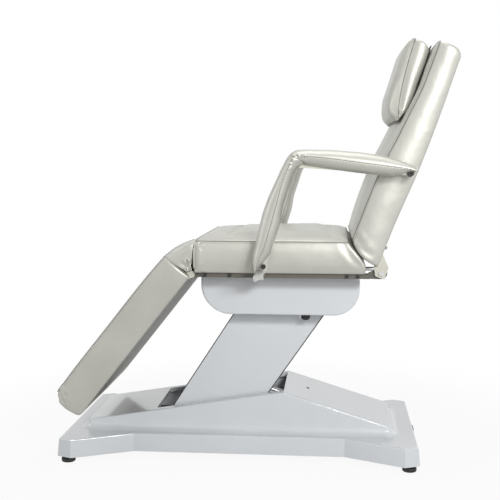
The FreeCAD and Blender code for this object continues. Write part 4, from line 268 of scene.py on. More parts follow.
# noise keeps near its middle: this part of it is spread over the whole range
noiseMiddle = (0.35, 0.65)


def startMaterial(name):
    mat = bpy.data.materials.new(name)
    mat.use_nodes = True
    tree = mat.node_tree
    shader = tree.nodes["Principled BSDF"]
    values = finishes[name]
    shader.inputs["Base Color"].default_value = (*values["colour"], 1)
    shader.inputs["Roughness"].default_value = values["rough"]
    coords = tree.nodes.new("ShaderNodeTexCoord")
    return mat, tree, shader, coords


def noiseAt(tree, coords, scale, detail, stretch=None):
    noise = tree.nodes.new("ShaderNodeTexNoise")
    noise.inputs["Scale"].default_value = scale
    noise.inputs["Detail"].default_value = detail
    if stretch:
        mapping = tree.nodes.new("ShaderNodeMapping")
        mapping.inputs["Scale"].default_value = stretch
        tree.links.new(coords.outputs["Object"], mapping.inputs["Vector"])
        tree.links.new(mapping.outputs["Vector"], noise.inputs["Vector"])
    else:
        tree.links.new(coords.outputs["Object"], noise.inputs["Vector"])
    return noise.outputs["Fac"]


def spread(tree, source, low, high):
    span = tree.nodes.new("ShaderNodeMapRange")
    span.inputs["From Min"].default_value = noiseMiddle[0]
    span.inputs["From Max"].default_value = noiseMiddle[1]
    span.inputs["To Min"].default_value = low
    span.inputs["To Max"].default_value = high
    tree.links.new(source, span.inputs["Value"])
    return span.outputs["Result"]


def tint(tree, source, shader, one, two):
    mix = tree.nodes.new("ShaderNodeMix")
    mix.data_type = "RGBA"
    mix.inputs["A"].default_value = (*one, 1)
    mix.inputs["B"].default_value = (*two, 1)
    tree.links.new(source, mix.inputs["Factor"])
    tree.links.new(mix.outputs["Result"], shader.inputs["Base Color"])


def relief(tree, shader, layers):
    last = None
    for source, distance, strength in layers:
        bump = tree.nodes.new("ShaderNodeBump")
        bump.inputs["Distance"].default_value = distance
        bump.inputs["Strength"].default_value = strength
        tree.links.new(source, bump.inputs["Height"])
        if last:
            tree.links.new(last, bump.inputs["Normal"])
        last = bump.outputs["Normal"]
    tree.links.new(last, shader.inputs["Normal"])


def shade(values):
    return tuple(c * (1 - values["contrast"]) for c in values["colour"])


def makePearlVinyl():
    mat, tree, shader, coords = startMaterial("pearlVinyl")
    values = finishes["pearlVinyl"]
    shader.inputs["Metallic"].default_value = values["metal"]
    shader.inputs["Coat Weight"].default_value = values["coat"]
    shader.inputs["Coat Roughness"].default_value = values["coatRough"]
    cloudy = noiseAt(tree, coords, values["cloud"], values["cloudDetail"])
    tint(tree, spread(tree, cloudy, 0, 1), shader, values["colour"], values["dark"])
    cellScale, *cellBump = values["leatherCells"]
    fleckScale, *fleckBump = values["pearlFleck"]
    waveScale, *waveBump = values["foamWave"]
    grain = tree.nodes.new("ShaderNodeTexVoronoi")
    grain.feature = "DISTANCE_TO_EDGE"
    grain.inputs["Scale"].default_value = cellScale
    tree.links.new(coords.outputs["Object"], grain.inputs["Vector"])
    fleck = noiseAt(tree, coords, fleckScale, values["fineDetail"])
    wave = noiseAt(tree, coords, waveScale, values["fineDetail"])
    relief(tree, shader, [(wave, *waveBump), (grain.outputs["Distance"], *cellBump), (fleck, *fleckBump)])
    rough = spread(tree, fleck, values["rough"] - values["smoother"], values["rough"] + values["rougher"])
    tree.links.new(rough, shader.inputs["Roughness"])
    return mat


def makePlain(name):
    mat, tree, shader, coords = startMaterial(name)
    values = finishes[name]
    shader.inputs["Metallic"].default_value = values.get("metal", 0.0)
    shader.inputs["Coat Weight"].default_value = values.get("coat", 0.0)
    shader.inputs["Coat Roughness"].default_value = plain["coatRough"]
    source = noiseAt(tree, coords, values["scale"], plain["detail"], values.get("stretch"))
    tint(tree, spread(tree, source, 0, 1), shader, values["colour"], shade(values))
    swing = values["rough"] * plain["roughSwing"]
    rough = spread(tree, source, values["rough"] - swing, values["rough"] + swing)
    tree.links.new(rough, shader.inputs["Roughness"])
    relief(tree, shader, [(source, values["bump"], plain["relief"])])
    return mat


def makePlywood():
    mat, tree, shader, coords = startMaterial("plywood")
    values = finishes["plywood"]
    grain = noiseAt(tree, coords, values["scale"], values["detail"], values["stretch"])
    tint(tree, spread(tree, grain, 0, 1), shader, values["colour"], shade(values))
    relief(tree, shader, [(grain, values["bump"], values["relief"])])
    return mat


finish = {name: makePlain(name) for name in finishes if name not in ("pearlVinyl", "plywood")}
finish["pearlVinyl"] = makePearlVinyl()
finish["plywood"] = makePlywood()
print("stage: finishes,", len(finish))


def deselect():
    if bpy.context.mode != "OBJECT":
        bpy.ops.object.mode_set(mode="OBJECT")
    bpy.ops.object.select_all(action="DESELECT")


def pick(obj):
    deselect()
    obj.select_set(True)
    bpy.context.view_layer.objects.active = obj


def dress(obj, look, body):
    obj.data.materials.clear()
    obj.data.materials.append(finish[look])
    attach(obj, body)


def newMesh(name, points, faces):
    mesh = bpy.data.meshes.new(name)
    mesh.from_pydata(points, [], faces)
    obj = bpy.data.objects.new(name, mesh)
    bpy.context.scene.collection.objects.link(obj)
    pick(obj)
    return obj


def faceOutward(obj):
    pick(obj)
    bpy.ops.object.mode_set(mode="EDIT")
    bpy.ops.mesh.select_all(action="SELECT")
    bpy.ops.mesh.normals_make_consistent(inside=False)
    bpy.ops.object.mode_set(mode="OBJECT")


def track(pairs, x):
    # a smooth line through (place, value) pairs
    xs = [p[0] for p in pairs]
    ys = [p[1] for p in pairs]
    if x <= xs[0]:
        return ys[0]
    if x >= xs[-1]:
        return ys[-1]
    slopes = np.gradient(ys, xs)
    i = max(0, np.searchsorted(xs, x) - 1)
    span = xs[i + 1] - xs[i]
    t = (x - xs[i]) / span
    a, b = ys[i], ys[i + 1]
    return float(
        a * (1 + 2 * t) * (1 - t) ** 2
        + b * t * t * (3 - 2 * t)
        + span * (slopes[i] * t * (1 - t) ** 2 - slopes[i + 1] * t * t * (1 - t))
    )


def resample(path, count):
    # points at equal steps along a side-view line
    pts = np.array(path, float)
    steps = np.linalg.norm(np.diff(pts, axis=0), axis=1)
    reach = np.concatenate([[0], np.cumsum(steps)])
    return [
        (float(np.interp(d, reach, pts[:, 0])), float(np.interp(d, reach, pts[:, 1])))
        for d in np.linspace(0, reach[-1], count)
    ]


def spaced(low, high, step, marks=()):
    # places from low to high about a step apart, closer at each mark
    fine = 3.0
    closest = fine * 0.6
    stops = [low] + sorted(m for m in marks if low < m < high) + [high]
    values = []
    for a, b in zip(stops, stops[1:]):
        count = max(1, round((b - a) / step))
        values += [a + (b - a) * n / count for n in range(count)]
    values.append(high)
    for m in marks:
        values += [v for v in (m - 2 * fine, m - fine, m + fine, m + 2 * fine) if low < v < high]
    values.sort()
    kept = [values[0]]
    for v in values[1:]:
        if v - kept[-1] > closest:
            kept.append(v)
        elif v in marks:
            kept[-1] = v
    kept[-1] = high
    return kept


def gridBlock(name, along, across, through, place):
    # a closed block of gridded faces; index finds a point by its three grid numbers
    nA, nC, nT = len(along) - 1, len(across) - 1, len(through) - 1
    index = {}
    points = []
    for i in range(nA + 1):
        for j in range(nC + 1):
            for k in range(nT + 1):
                if i in (0, nA) or j in (0, nC) or k in (0, nT):
                    index[i, j, k] = len(points)
                    points.append(place(along[i], across[j], through[k]))
    faces = []
    for i in range(nA):
        for j in range(nC):
            for k in (0, nT):
                ring = (index[i, j, k], index[i + 1, j, k], index[i + 1, j + 1, k], index[i, j + 1, k])
                faces.append(ring if k else ring[::-1])
    for i in range(nA):
        for k in range(nT):
            for j in (0, nC):
                ring = (index[i, j, k], index[i + 1, j, k], index[i + 1, j, k + 1], index[i, j, k + 1])
                faces.append(ring[::-1] if j else ring)
    for j in range(nC):
        for k in range(nT):
            for i in (0, nA):
                ring = (index[i, j, k], index[i, j + 1, k], index[i, j + 1, k + 1], index[i, j, k + 1])
                faces.append(ring if i else ring[::-1])
    obj = newMesh(name, points, faces)
    faceOutward(obj)
    return obj, index, (nA, nC, nT)


def coordsOf(obj):
    co = np.zeros(len(obj.data.vertices) * 3)
    obj.data.vertices.foreach_get("co", co)
    return co.reshape(-1, 3)


def setCoords(obj, co):
    obj.data.vertices.foreach_set("co", np.asarray(co, float).ravel())
    obj.data.update()


foam = {"frames": 20, "quality": 5, "mass": 0.4, "stretch": 12, "shear": 6, "bend": 1.5}


def inflate(obj, held, pad):
    # the foam fills the cover: cloth under pressure, held where it is sewn or glued
    rest = coordsOf(obj)
    pins = obj.vertex_groups.new(name="sewn")
    pins.add([int(v) for v in held], 1.0, "REPLACE")
    cloth = obj.modifiers.new("cover", "CLOTH")
    cloth.settings.quality = foam["quality"]
    cloth.settings.mass = foam["mass"]
    cloth.settings.tension_stiffness = foam["stretch"]
    cloth.settings.compression_stiffness = foam["stretch"]
    cloth.settings.shear_stiffness = foam["shear"]
    cloth.settings.bending_stiffness = foam["bend"]
    cloth.settings.vertex_group_mass = "sewn"
    cloth.settings.use_pressure = True
    cloth.settings.uniform_pressure_force = pad["pressure"]
    cloth.settings.effector_weights.gravity = 0
    cloth.point_cache.frame_start = 1
    cloth.point_cache.frame_end = foam["frames"]
    scene = bpy.context.scene
    for step in range(1, foam["frames"] + 1):
        scene.frame_set(step)
    shaped = obj.evaluated_get(bpy.context.evaluated_depsgraph_get())
    moved = coordsOf(shaped) - rest
    obj.modifiers.remove(cloth)
    obj.vertex_groups.remove(pins)
    scene.frame_set(1)
    size = np.linalg.norm(moved, axis=1, keepdims=True)
    setCoords(obj, rest + moved * pad["cap"] / np.maximum(size, pad["cap"]))
    print("stage:", obj.name, "swelled up to", round(float(min(size.max(), pad["cap"])) * 1000, 1), "mm")


def softFinish(obj):
    pick(obj)
    sub = obj.modifiers.new("smooth", "SUBSURF")
    sub.levels = sub.render_levels = 1
    bpy.ops.object.modifier_apply(modifier=sub.name)
    bpy.ops.object.shade_smooth()


def line(co, index, cells, i=None, j=None, k=None):
    # the points of one grid line: the number left out runs
    nA, nC, nT = cells
    if i is None:
        return [co[index[n, j, k]] for n in range(nA + 1)]
    if j is None:
        return [co[index[i, n, k]] for n in range(nC + 1)]
    return [co[index[i, j, n]] for n in range(nT + 1)]


def faceSeams(co, index, cells):
    # the seam round a cushion's face: its two sides, then its two ends
    sides = [line(co, index, cells, j=j, k=cells[2]) for j in (0, cells[1])]
    return sides + [line(co, index, cells, i=i, k=cells[2]) for i in (0, cells[0])]


def sewnPoints(index, cells, across, inner, corners, channels=()):
    # what the cloth holds: the glued rear, the face's seams, grooves and channels, and corners at some ends
    held = []
    for (i, j, k), v in index.items():
        end, side = i in (0, cells[0]), j in (0, cells[1])
        groove = abs(across[j]) == inner
        channel = i in channels and abs(across[j]) <= inner
        if k == 0 or (side and i in corners) or (k == cells[2] and (end or side or groove or channel)):
            held.append(v)
    return held


# sewing, in metres
sewing = {
    "seamRadius": 0.0008,
    "cushion": {"pitch": 0.0065, "length": 0.0042, "radius": 0.0009},
    "armrest": {"pitch": 0.009, "length": 0.0052, "radius": 0.0013},
    "flat": 0.8,  # a stitch's height against its width
    "outward": 0.0012,  # how far a cushion's stitches lie off its grid
}


def thread(name, runs, body):
    # the sunk lines of a seam: one mesh from several runs of points
    curve = bpy.data.curves.new(name, "CURVE")
    curve.dimensions = "3D"
    curve.bevel_depth = sewing["seamRadius"]
    curve.bevel_resolution = 1
    curve.use_fill_caps = True
    for run in runs:
        spline = curve.splines.new("POLY")
        spline.points.add(len(run) - 1)
        for n, p in enumerate(run):
            spline.points[n].co = (*p, 1)
    obj = bpy.data.objects.new(name, curve)
    bpy.context.scene.collection.objects.link(obj)
    pick(obj)
    bpy.ops.object.convert(target="MESH")
    bpy.ops.object.shade_smooth()
    dress(bpy.context.object, "vinylSeam", body)


def stitches(name, runs, body, stitch, outward=(0, 0, 0)):
    # rows of single stitches, each a small lozenge lying along its row
    deselect()
    bpy.ops.mesh.primitive_uv_sphere_add(segments=6, ring_count=4, radius=1)
    seed = bpy.context.object
    radius, pitch = stitch["radius"], stitch["pitch"]
    unit = coordsOf(seed) * np.array([radius, radius * sewing["flat"], stitch["length"] / 2])
    rings = [tuple(p.vertices) for p in seed.data.polygons]
    bpy.data.objects.remove(seed, do_unlink=True)
    points = []
    faces = []
    for run in runs:
        run = np.asarray(run, float)
        steps = np.linalg.norm(np.diff(run, axis=0), axis=1)
        reach = np.concatenate([[0], np.cumsum(steps)])
        for at in np.arange(pitch / 2, steps.sum(), pitch):
            n = max(0, min(np.searchsorted(reach, at) - 1, len(steps) - 1))
            share = (at - reach[n]) / steps[n]
            middle = run[n] * (1 - share) + run[n + 1] * share + np.asarray(outward, float)
            turn = Vector(run[n + 1] - run[n]).to_track_quat("Z", "Y").to_matrix()
            base = len(points)
            points += list(unit @ np.array(turn).T + middle)
            faces += [tuple(v + base for v in ring) for ring in rings]
    obj = newMesh(name, [tuple(p) for p in points], faces)
    bpy.ops.object.shade_smooth()
    dress(obj, "stitchThread", body)


def sewEdges(body, seams, leftRows, rightRows):
    # a cushion's seams, and the stitches on its two side faces
    thread(body + "Seams", seams, body)
    for label, rows, side in (("Left", leftRows, -1), ("Right", rightRows, 1)):
        outward = (0, side * sewing["outward"], 0)
        stitches(body + "Stitches" + label, rows, body, sewing["cushion"], outward)


def facings(obj):
    out = np.zeros(len(obj.data.vertices) * 3)
    obj.data.vertex_normals.foreach_get("vector", out)
    return out.reshape(-1, 3)


# a fold's places, in widths of its groove
crease = {"lipAt": 2.1, "reach": 5}


def foldLine(obj, run, fold):
    # a sewn or pressed groove along a run of points, with a small swelling each side
    depth, width = fold["depth"], fold["width"]
    co, out = coordsOf(obj), facings(obj)
    run = np.asarray(run, float)
    near = np.full(len(co), np.inf)
    for a, b in zip(run, run[1:]):
        step = b - a
        share = np.clip(((co - a) @ step) / (step @ step), 0, 1)
        near = np.minimum(near, np.linalg.norm(co - (a + share[:, None] * step), axis=1))
    groove = np.exp(-((near / width) ** 2))
    lips = np.exp(-(((near - crease["lipAt"] * width) / width) ** 2))
    push = depth * (fold["lip"] * lips - groove)
    push[near > crease["reach"] * width] = 0
    setCoords(obj, co + out * push[:, None])


def gathers(obj, centre, outward, pucker, turn=0.0):
    # puckers that run out from a point where the cover is pulled together
    co, out = coordsOf(obj), facings(obj)
    axis = Vector(outward).normalized()
    one = axis.orthogonal().normalized()
    two = axis.cross(one)
    rel = co - np.asarray(centre, float)
    angle = np.arctan2(rel @ np.array(two), rel @ np.array(one))
    fade = np.clip(1 - np.linalg.norm(rel, axis=1) / pucker["reach"], 0, 1)
    rays = np.cos(pucker["count"] * angle + turn) * np.sqrt(fade) * (1 - fade) * 2
    push = pucker["depth"] * (rays - fade**2)
    push[fade <= 0] = 0
    setCoords(obj, co + out * push[:, None])


# frames of the chair's parts, in mm on the side view
backLine = {"x": 379.5, "z": 598.0, "tilt": math.radians(20.8)}
legLine = {"x": -183.0, "z": 588.0, "fall": math.radians(51.7)}


def onSeat(along, across, height):
    return Vector((along, across, height)) / 1000


def onBack(along, across, height):
    s, c = math.sin(backLine["tilt"]), math.cos(backLine["tilt"])
    x = backLine["x"] + along * s - height * c
    z = backLine["z"] + along * c + height * s
    return Vector((x, across, z)) / 1000


def onLeg(along, across, height):
    s, c = math.sin(legLine["fall"]), math.cos(legLine["fall"])
    x = legLine["x"] - along * c - height * s
    z = legLine["z"] - along * s + height * c
    return Vector((x, across, z)) / 1000


def innerEdge(pad):
    # where a cushion's face meets its border, from the middle
    return pad["half"] - pad["border"] - pad["groove"] / 2


def topRelief(pad, along, across):
    # how far a cushion's face stands over its seam
    a, inner = abs(across), innerEdge(pad)
    roll, crown = track(pad["roll"], along), track(pad["crown"], along)
    if a >= inner:
        rise = roll * math.sin(min(1.0, (pad["half"] - a) / pad["border"]) * math.pi / 2)
    else:
        rise = roll + (crown - roll) * (1 - (a / inner) ** 2)
    fade = pad["groove"] * 0.75  # mm from its middle to where the groove is nearly gone
    return rise - pad["grooveDepth"] * math.exp(-(((a - inner) / fade) ** 2))


def leaning(pad, along, rise):
    # a cushion's ends lean: a place along its face, taken down to a share of its height
    low, high = pad["low"][-1][1], pad["high"][-1][1]
    start, end = track(pad["low"], rise), track(pad["high"], rise)
    return start + (end - start) * (along - low) / (high - low)


def swelling(pad, across, rise):
    # a cushion's side faces stand out at half height
    if abs(across) < pad["half"]:
        return across
    return math.copysign(pad["half"] + pad["bulge"] * math.sin(math.pi * rise), across)


def keepWithin(obj, limit):
    # the cover stays clear of the armrest brackets beside it, easing in over the last few mm
    ease = 0.004
    co = coordsOf(obj)
    wide = np.abs(co[:, 1])
    over = wide - (limit - ease)
    soft = np.where(over > 0, limit - ease * np.exp(-over / ease), wide)
    co[:, 1] = np.sign(co[:, 1]) * soft
    setCoords(obj, co)


seatPad = {
    "half": 291.0,
    "bulge": 8.0,
    "border": 62.0,
    "groove": 6.0,
    "grooveDepth": 5.0,
    "bottom": 595.0,
    "seam": 690.0,
    # its front and rear ends: share of the height, and x
    "low": [(0.0, -171.0), (0.45, -174.5), (0.93, -169.0), (1.0, -166.0)],
    "high": [(0.0, 330), (0.14, 335), (0.28, 334), (0.41, 325), (0.65, 308), (0.96, 284.5), (1.0, 283.0)],
    # the face over the seam at the border and at the middle: x, and mm
    "roll": [(-166, 4), (-150, 7), (-120, 9), (-82, 10), (80, 14), (223, 14), (262, 11), (283, 5)],
    "crown": [(-166, 4), (-150, 9.5), (-120, 12.5), (-82, 14.5), (80, 19), (223, 18), (262, 12.5), (283, 5)],
    "channels": (-82.0, 223.0),
    "channelDepth": 7.0,
    "channelWidth": 4.0,
    "alongStep": 9.0,
    "acrossStep": 10.0,
    "layers": [0.0, 0.07, 0.16, 0.26, 0.36, 0.46, 0.56, 0.66, 0.76, 0.86, 0.94, 1.0],
    # the cover's folds on each side face: x and z
    "rearFold": {
        "path": [(268, 688), (277, 668), (289, 648), (303, 632), (317, 622)],
        "depth": 0.0014, "width": 0.0090, "lip": 0.3,
    },
    "frontFold": {"path": [(-164.5, 684), (-164.5, 604)], "depth": 0.0018, "width": 0.0040, "lip": 0.5},
    "frontStitches": [(-164.5, z) for z in (678, 660, 640, 620, 608)],
    "puckers": [
        {"at": (-160.5, 676), "reach": 0.020, "count": 5, "depth": 0.0016, "turn": 0.0},
        {"at": (-158.5, 604), "reach": 0.024, "count": 5, "depth": 0.0018, "turn": 1.0},
    ],
    "rowDrop": 0.006,
    "pressure": 3.5,
    "cap": 0.006,
    "widest": 0.3,
}


def makeSeatCushion():
    p = seatPad
    inner = innerEdge(p)
    height = p["seam"] - p["bottom"]

    def place(s, a, f):
        z = p["bottom"] + height * f
        if f >= 1:
            z += topRelief(p, s, a)
            if abs(a) < inner:
                for c in p["channels"]:
                    z -= p["channelDepth"] * math.exp(-(((s - c) / p["channelWidth"]) ** 2))
        return onSeat(leaning(p, s, f), swelling(p, a, f), z)

    along = spaced(p["low"][-1][1], p["high"][-1][1], p["alongStep"], p["channels"])
    across = spaced(-p["half"], p["half"], p["acrossStep"], (-inner, inner))
    obj, index, cells = gridBlock("seatCushion", along, across, p["layers"], place)
    channels = [along.index(x) for x in p["channels"]]
    inflate(obj, sewnPoints(index, cells, across, inner, (0, cells[0]), channels), p)
    seams = faceSeams(coordsOf(obj), index, cells)
    left, right = [[q - np.array([0, 0, p["rowDrop"]]) for q in run] for run in seams[:2]]
    softFinish(obj)
    keepWithin(obj, p["widest"])
    frontRows = []
    for side in (-1, 1):
        y = side * (p["half"] + p["bulge"])
        for fold in (p["rearFold"], p["frontFold"]):
            foldLine(obj, [onSeat(x, y, z) for x, z in fold["path"]], fold)
        for pucker in p["puckers"]:
            x, z = pucker["at"]
            gathers(obj, onSeat(x, y, z), (0, side, 0), pucker, pucker["turn"])
        frontRows.append([
            onSeat(x, side * swelling(p, p["half"], (z - p["bottom"]) / height), z)
            for x, z in p["frontStitches"]
        ])
    dress(obj, "pearlVinyl", "seat")
    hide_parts("seat_cushion")
    sewEdges("seat", seams, [left, frontRows[0]], [right, frontRows[1]])


makeSeatCushion()
print("stage: seat cushion")

backPad = {
    "half": 291.5,
    "bulge": 9.0,
    "border": 62.0,
    "groove": 6.0,
    "grooveDepth": 3.0,
    # heights of the seam and the rear face over the back's line, place by place up the back
    "seam": [
        (56, 115), (110, 115), (200, 115), (262, 114), (322, 109), (367, 103.5),
        (428, 98), (479, 93), (527, 88.5), (590, 88), (650, 89.5), (682, 91),
    ],
    "rear": [(0, 17), (46, 17), (147, 17), (311, 11), (397, 11), (670, 20), (690, 20.6)],
    "roll": [(56, 3), (75, 6), (110, 8), (262, 11), (428, 10), (527, 9), (650, 8), (677, 3)],
    "crown": [
        (56, 3), (75, 7.5), (110, 10), (262, 14), (367, 13.5),
        (428, 12.5), (527, 13), (590, 13), (650, 11), (677, 3),
    ],
    # its lower and upper ends: share of the height, and place along
    "low": [(0.0, 15.0), (0.08, 15.0), (0.3, 17.5), (0.48, 22.5), (0.7, 33.0), (0.88, 47.0), (1.0, 64.0)],
    "high": [(0.0, 655.0), (0.04, 663.0), (0.1, 669.0), (0.2, 673.0), (0.6, 677.5), (1.0, 676.5)],
    "seamFrom": 56,
    "alongStep": 9.5,
    "acrossStep": 10.0,
    "layers": [0.0, 0.05, 0.12, 0.2, 0.3, 0.4, 0.5, 0.6, 0.7, 0.8, 0.88, 0.94, 1.0],
    # the wrinkle over the bottom corner on each side face: along and height
    "cornerFold": {
        "path": [(73, 104), (56, 92), (46, 74), (42, 52)],
        "depth": 0.0016, "width": 0.0090, "lip": 0.35,
    },
    "pucker": {"at": (60, 104), "reach": 0.034, "count": 4, "depth": 0.0011},
    "rowDrop": 6,
    "pressure": 3.5,
    "cap": 0.008,
    "widest": 0.304,
}


def makeBackCushion():
    p = backPad
    inner = innerEdge(p)

    def place(s, a, f):
        u = leaning(p, s, f)
        rear, seam = track(p["rear"], u), track(p["seam"], max(u, p["seamFrom"]))
        h = rear + (seam - rear) * f
        if f >= 1:
            h += topRelief(p, s, a)
        return onBack(u, swelling(p, a, f), h)

    along = spaced(p["low"][-1][1], p["high"][-1][1], p["alongStep"])
    across = spaced(-p["half"], p["half"], p["acrossStep"], (-inner, inner))
    obj, index, cells = gridBlock("backCushion", along, across, p["layers"], place)
    inflate(obj, sewnPoints(index, cells, across, inner, (0, cells[0])), p)
    seams = faceSeams(coordsOf(obj), index, cells)
    inward = np.array(onBack(0, 0, -p["rowDrop"]) - onBack(0, 0, 0))
    left, right = [[q + inward for q in run] for run in seams[:2]]
    softFinish(obj)
    keepWithin(obj, p["widest"])
    for side in (-1, 1):
        y = side * (p["half"] + p["bulge"])
        foldLine(obj, [onBack(u, y, h) for u, h in p["cornerFold"]["path"]], p["cornerFold"])
        u, h = p["pucker"]["at"]
        gathers(obj, onBack(u, side * p["half"], h), (0, side, 0), p["pucker"])
    dress(obj, "pearlVinyl", "back")
    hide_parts("back_cushion")
    sewEdges("back", seams, [left], [right])


coverButton = {
    "along": 73.0,
    "across": 250.0,
    "height": 11.5,
    "radius": 0.0055,
    "flat": 0.55,  # its depth against its width
}


def makeCoverButtons():
    # a covered button low on the rear, one at each side
    p = coverButton
    deselect()
    for side, label in ((-1, "Left"), (1, "Right")):
        bpy.ops.mesh.primitive_uv_sphere_add(segments=20, ring_count=12, radius=p["radius"])
        button = bpy.context.object
        button.name = "coverButton" + label
        bpy.ops.transform.resize(value=(1, 1, p["flat"]))
        button.rotation_euler = (0, -(math.pi / 2 - backLine["tilt"]), 0)
        button.location = onBack(p["along"], side * p["across"], p["height"])
        bpy.ops.object.transform_apply(location=True, rotation=True, scale=True)
        bpy.ops.object.shade_smooth()
        dress(button, "pearlVinyl", "back")


makeBackCushion()
makeCoverButtons()
print("stage: back cushion")

headPad = {
    "half": 214.0,
    "bulge": 8.0,
    "border": 30.0,
    # heights of the seam, the rear face and the front over the back's line
    "seam": [(418, 111), (432, 115), (467, 127), (500, 135.5), (552, 144.7), (610, 151.5), (669.8, 155.7)],
    "rear": [(412, 112), (434, 108), (462, 99), (490, 98), (552, 101), (656, 107.8), (672, 112)],
    "crown": [
        (430, 10), (434, 21), (440, 31), (448, 37), (464, 38), (480, 36), (520, 30),
        (550, 26), (600, 23), (640, 22), (655, 20), (664, 15), (669.5, 8),
    ],
    "rollShare": 0.86,
    "sag": 4.0,  # how far the underside hangs below its corners
    "sagReach": 16,
    "low": [(0.0, 466.0), (0.15, 458.0), (0.4, 448.0), (0.7, 438.0), (1.0, 430.0)],
    "high": [(0.0, 656.0), (0.12, 663.0), (0.4, 668.5), (0.8, 670.0), (1.0, 669.5)],
    "alongStep": 7.0,
    "acrossStep": 9.0,
    "layers": [0.0, 0.12, 0.28, 0.44, 0.6, 0.76, 0.9, 1.0],
    "sidePucker": {"at": (444, 112), "reach": 0.026, "count": 5, "depth": 0.0012},
    "underPucker": {"at": (418, 122), "reach": 0.026, "count": 5, "depth": 0.0016},
    "underPuckers": (-150, -90, -30, 30, 90, 150),
    "rowDrop": 6,
    "pressure": 2.5,
    "cap": 0.004,
}


def makeHeadCushion():
    p = headPad
    low, high = p["low"][-1][1], p["high"][-1][1]

    def place(s, a, f):
        u = leaning(p, s, f)
        h = track(p["rear"], u) + (track(p["seam"], u) - track(p["rear"], u)) * f
        u -= p["sag"] * f * (1 - (abs(a) / p["half"]) ** 4) * math.exp(-(((s - low) / p["sagReach"]) ** 2))
        if f >= 1:
            edge = min(1.0, (p["half"] - abs(a)) / p["border"])
            crown = track(p["crown"], s)
            roll = crown * p["rollShare"]
            h += roll * math.sin(edge * math.pi / 2)
            h += (crown - roll) * max(0.0, 1 - (a / (p["half"] - p["border"])) ** 2)
        return onBack(u, swelling(p, a, f), h)

    along = spaced(low, high, p["alongStep"])
    across = spaced(-p["half"], p["half"], p["acrossStep"])
    obj, index, cells = gridBlock("headCushion", along, across, p["layers"], place)
    inflate(obj, sewnPoints(index, cells, across, math.inf, ()), p)
    seams = faceSeams(coordsOf(obj), index, cells)
    inward = np.array(onBack(0, 0, -p["rowDrop"]) - onBack(0, 0, 0))
    left, right = [[q + inward for q in run[2:]] for run in seams[:2]]
    softFinish(obj)
    for side in (-1, 1):
        u, h = p["sidePucker"]["at"]
        gathers(obj, onBack(u, side * p["half"], h), (0, side, 0), p["sidePucker"])
    downward = onBack(-1, 0, 0) - onBack(0, 0, 0)
    for across in p["underPuckers"]:
        u, h = p["underPucker"]["at"]
        gathers(obj, onBack(u, across, h), downward, p["underPucker"], across)
    dress(obj, "pearlVinyl", "head")
    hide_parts("head_cushion")
    sewEdges("head", seams, [left], [right])


makeHeadCushion()
print("stage: head cushion")

legPad = {
    "half": 291.5,
    "bulge": 9.0,
    "border": 62.0,
    "groove": 6.0,
    "grooveDepth": 1.8,
    "seam": [(0, 94.5), (60, 96.5), (300, 98.5), (500, 98.5), (538, 97), (562, 82)],
    "rear": -2,
    "roll": [(3, 2), (20, 4), (60, 5.5), (300, 6), (480, 5), (520, 4), (540, 2)],
    "crown": [(3, 7), (20, 9), (60, 9), (300, 9), (480, 7), (520, 5), (540, 2)],
    "low": [(0.0, 4.0), (1.0, 3.0)],
    "high": [(0.0, 552), (0.06, 557), (0.2, 559.5), (0.75, 559), (0.88, 553), (0.97, 541), (1.0, 538.0)],
    "alongStep": 9.5,
    "acrossStep": 10.0,
    "layers": [0.0, 0.06, 0.14, 0.23, 0.33, 0.43, 0.53, 0.63, 0.73, 0.83, 0.92, 1.0],
    # folds over the tip's corner on each side face, along and height
    "tipFolds": [[(530, 90), (541, 74), (547, 60)], [(520, 88), (531, 70), (538, 54)]],
    "tipFold": {"depth": 0.0030, "width": 0.0034, "lip": 0.6},
    "pucker": {"at": (538, 88), "reach": 0.034, "count": 7, "depth": 0.0020},
    "rowDrop": 6,
    "pressure": 3.5,
    "cap": 0.007,
    "widest": 0.304,
}


def makeLegCushion():
    p = legPad
    inner = innerEdge(p)

    def place(s, a, f):
        h = p["rear"] + (track(p["seam"], s) - p["rear"]) * f
        if f >= 1:
            h += topRelief(p, s, a)
        return onLeg(leaning(p, s, f), swelling(p, a, f), h)

    along = spaced(p["low"][-1][1], p["high"][-1][1], p["alongStep"])
    across = spaced(-p["half"], p["half"], p["acrossStep"], (-inner, inner))
    obj, index, cells = gridBlock("legCushion", along, across, p["layers"], place)
    inflate(obj, sewnPoints(index, cells, across, inner, (0,)), p)
    co = coordsOf(obj)
    seams = faceSeams(co, index, cells) + [line(co, index, cells, i=0, j=j)[1:] for j in (0, cells[1])]
    inward = np.array(onLeg(0, 0, -p["rowDrop"]) - onLeg(0, 0, 0))
    left, right = [[q + inward for q in run] for run in seams[:2]]
    softFinish(obj)
    keepWithin(obj, p["widest"])
    for side in (-1, 1):
        y = side * (p["half"] + p["bulge"])
        for path in p["tipFolds"]:
            foldLine(obj, [onLeg(u, y, h) for u, h in path], p["tipFold"])
        u, h = p["pucker"]["at"]
        gathers(obj, onLeg(u, side * p["half"], h), (0, side, 0), p["pucker"])
    dress(obj, "pearlVinyl", "leg")
    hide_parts("leg_cushion")
    sewEdges("leg", seams, [left], [right])


makeLegCushion()
print("stage: leg rest cushion")

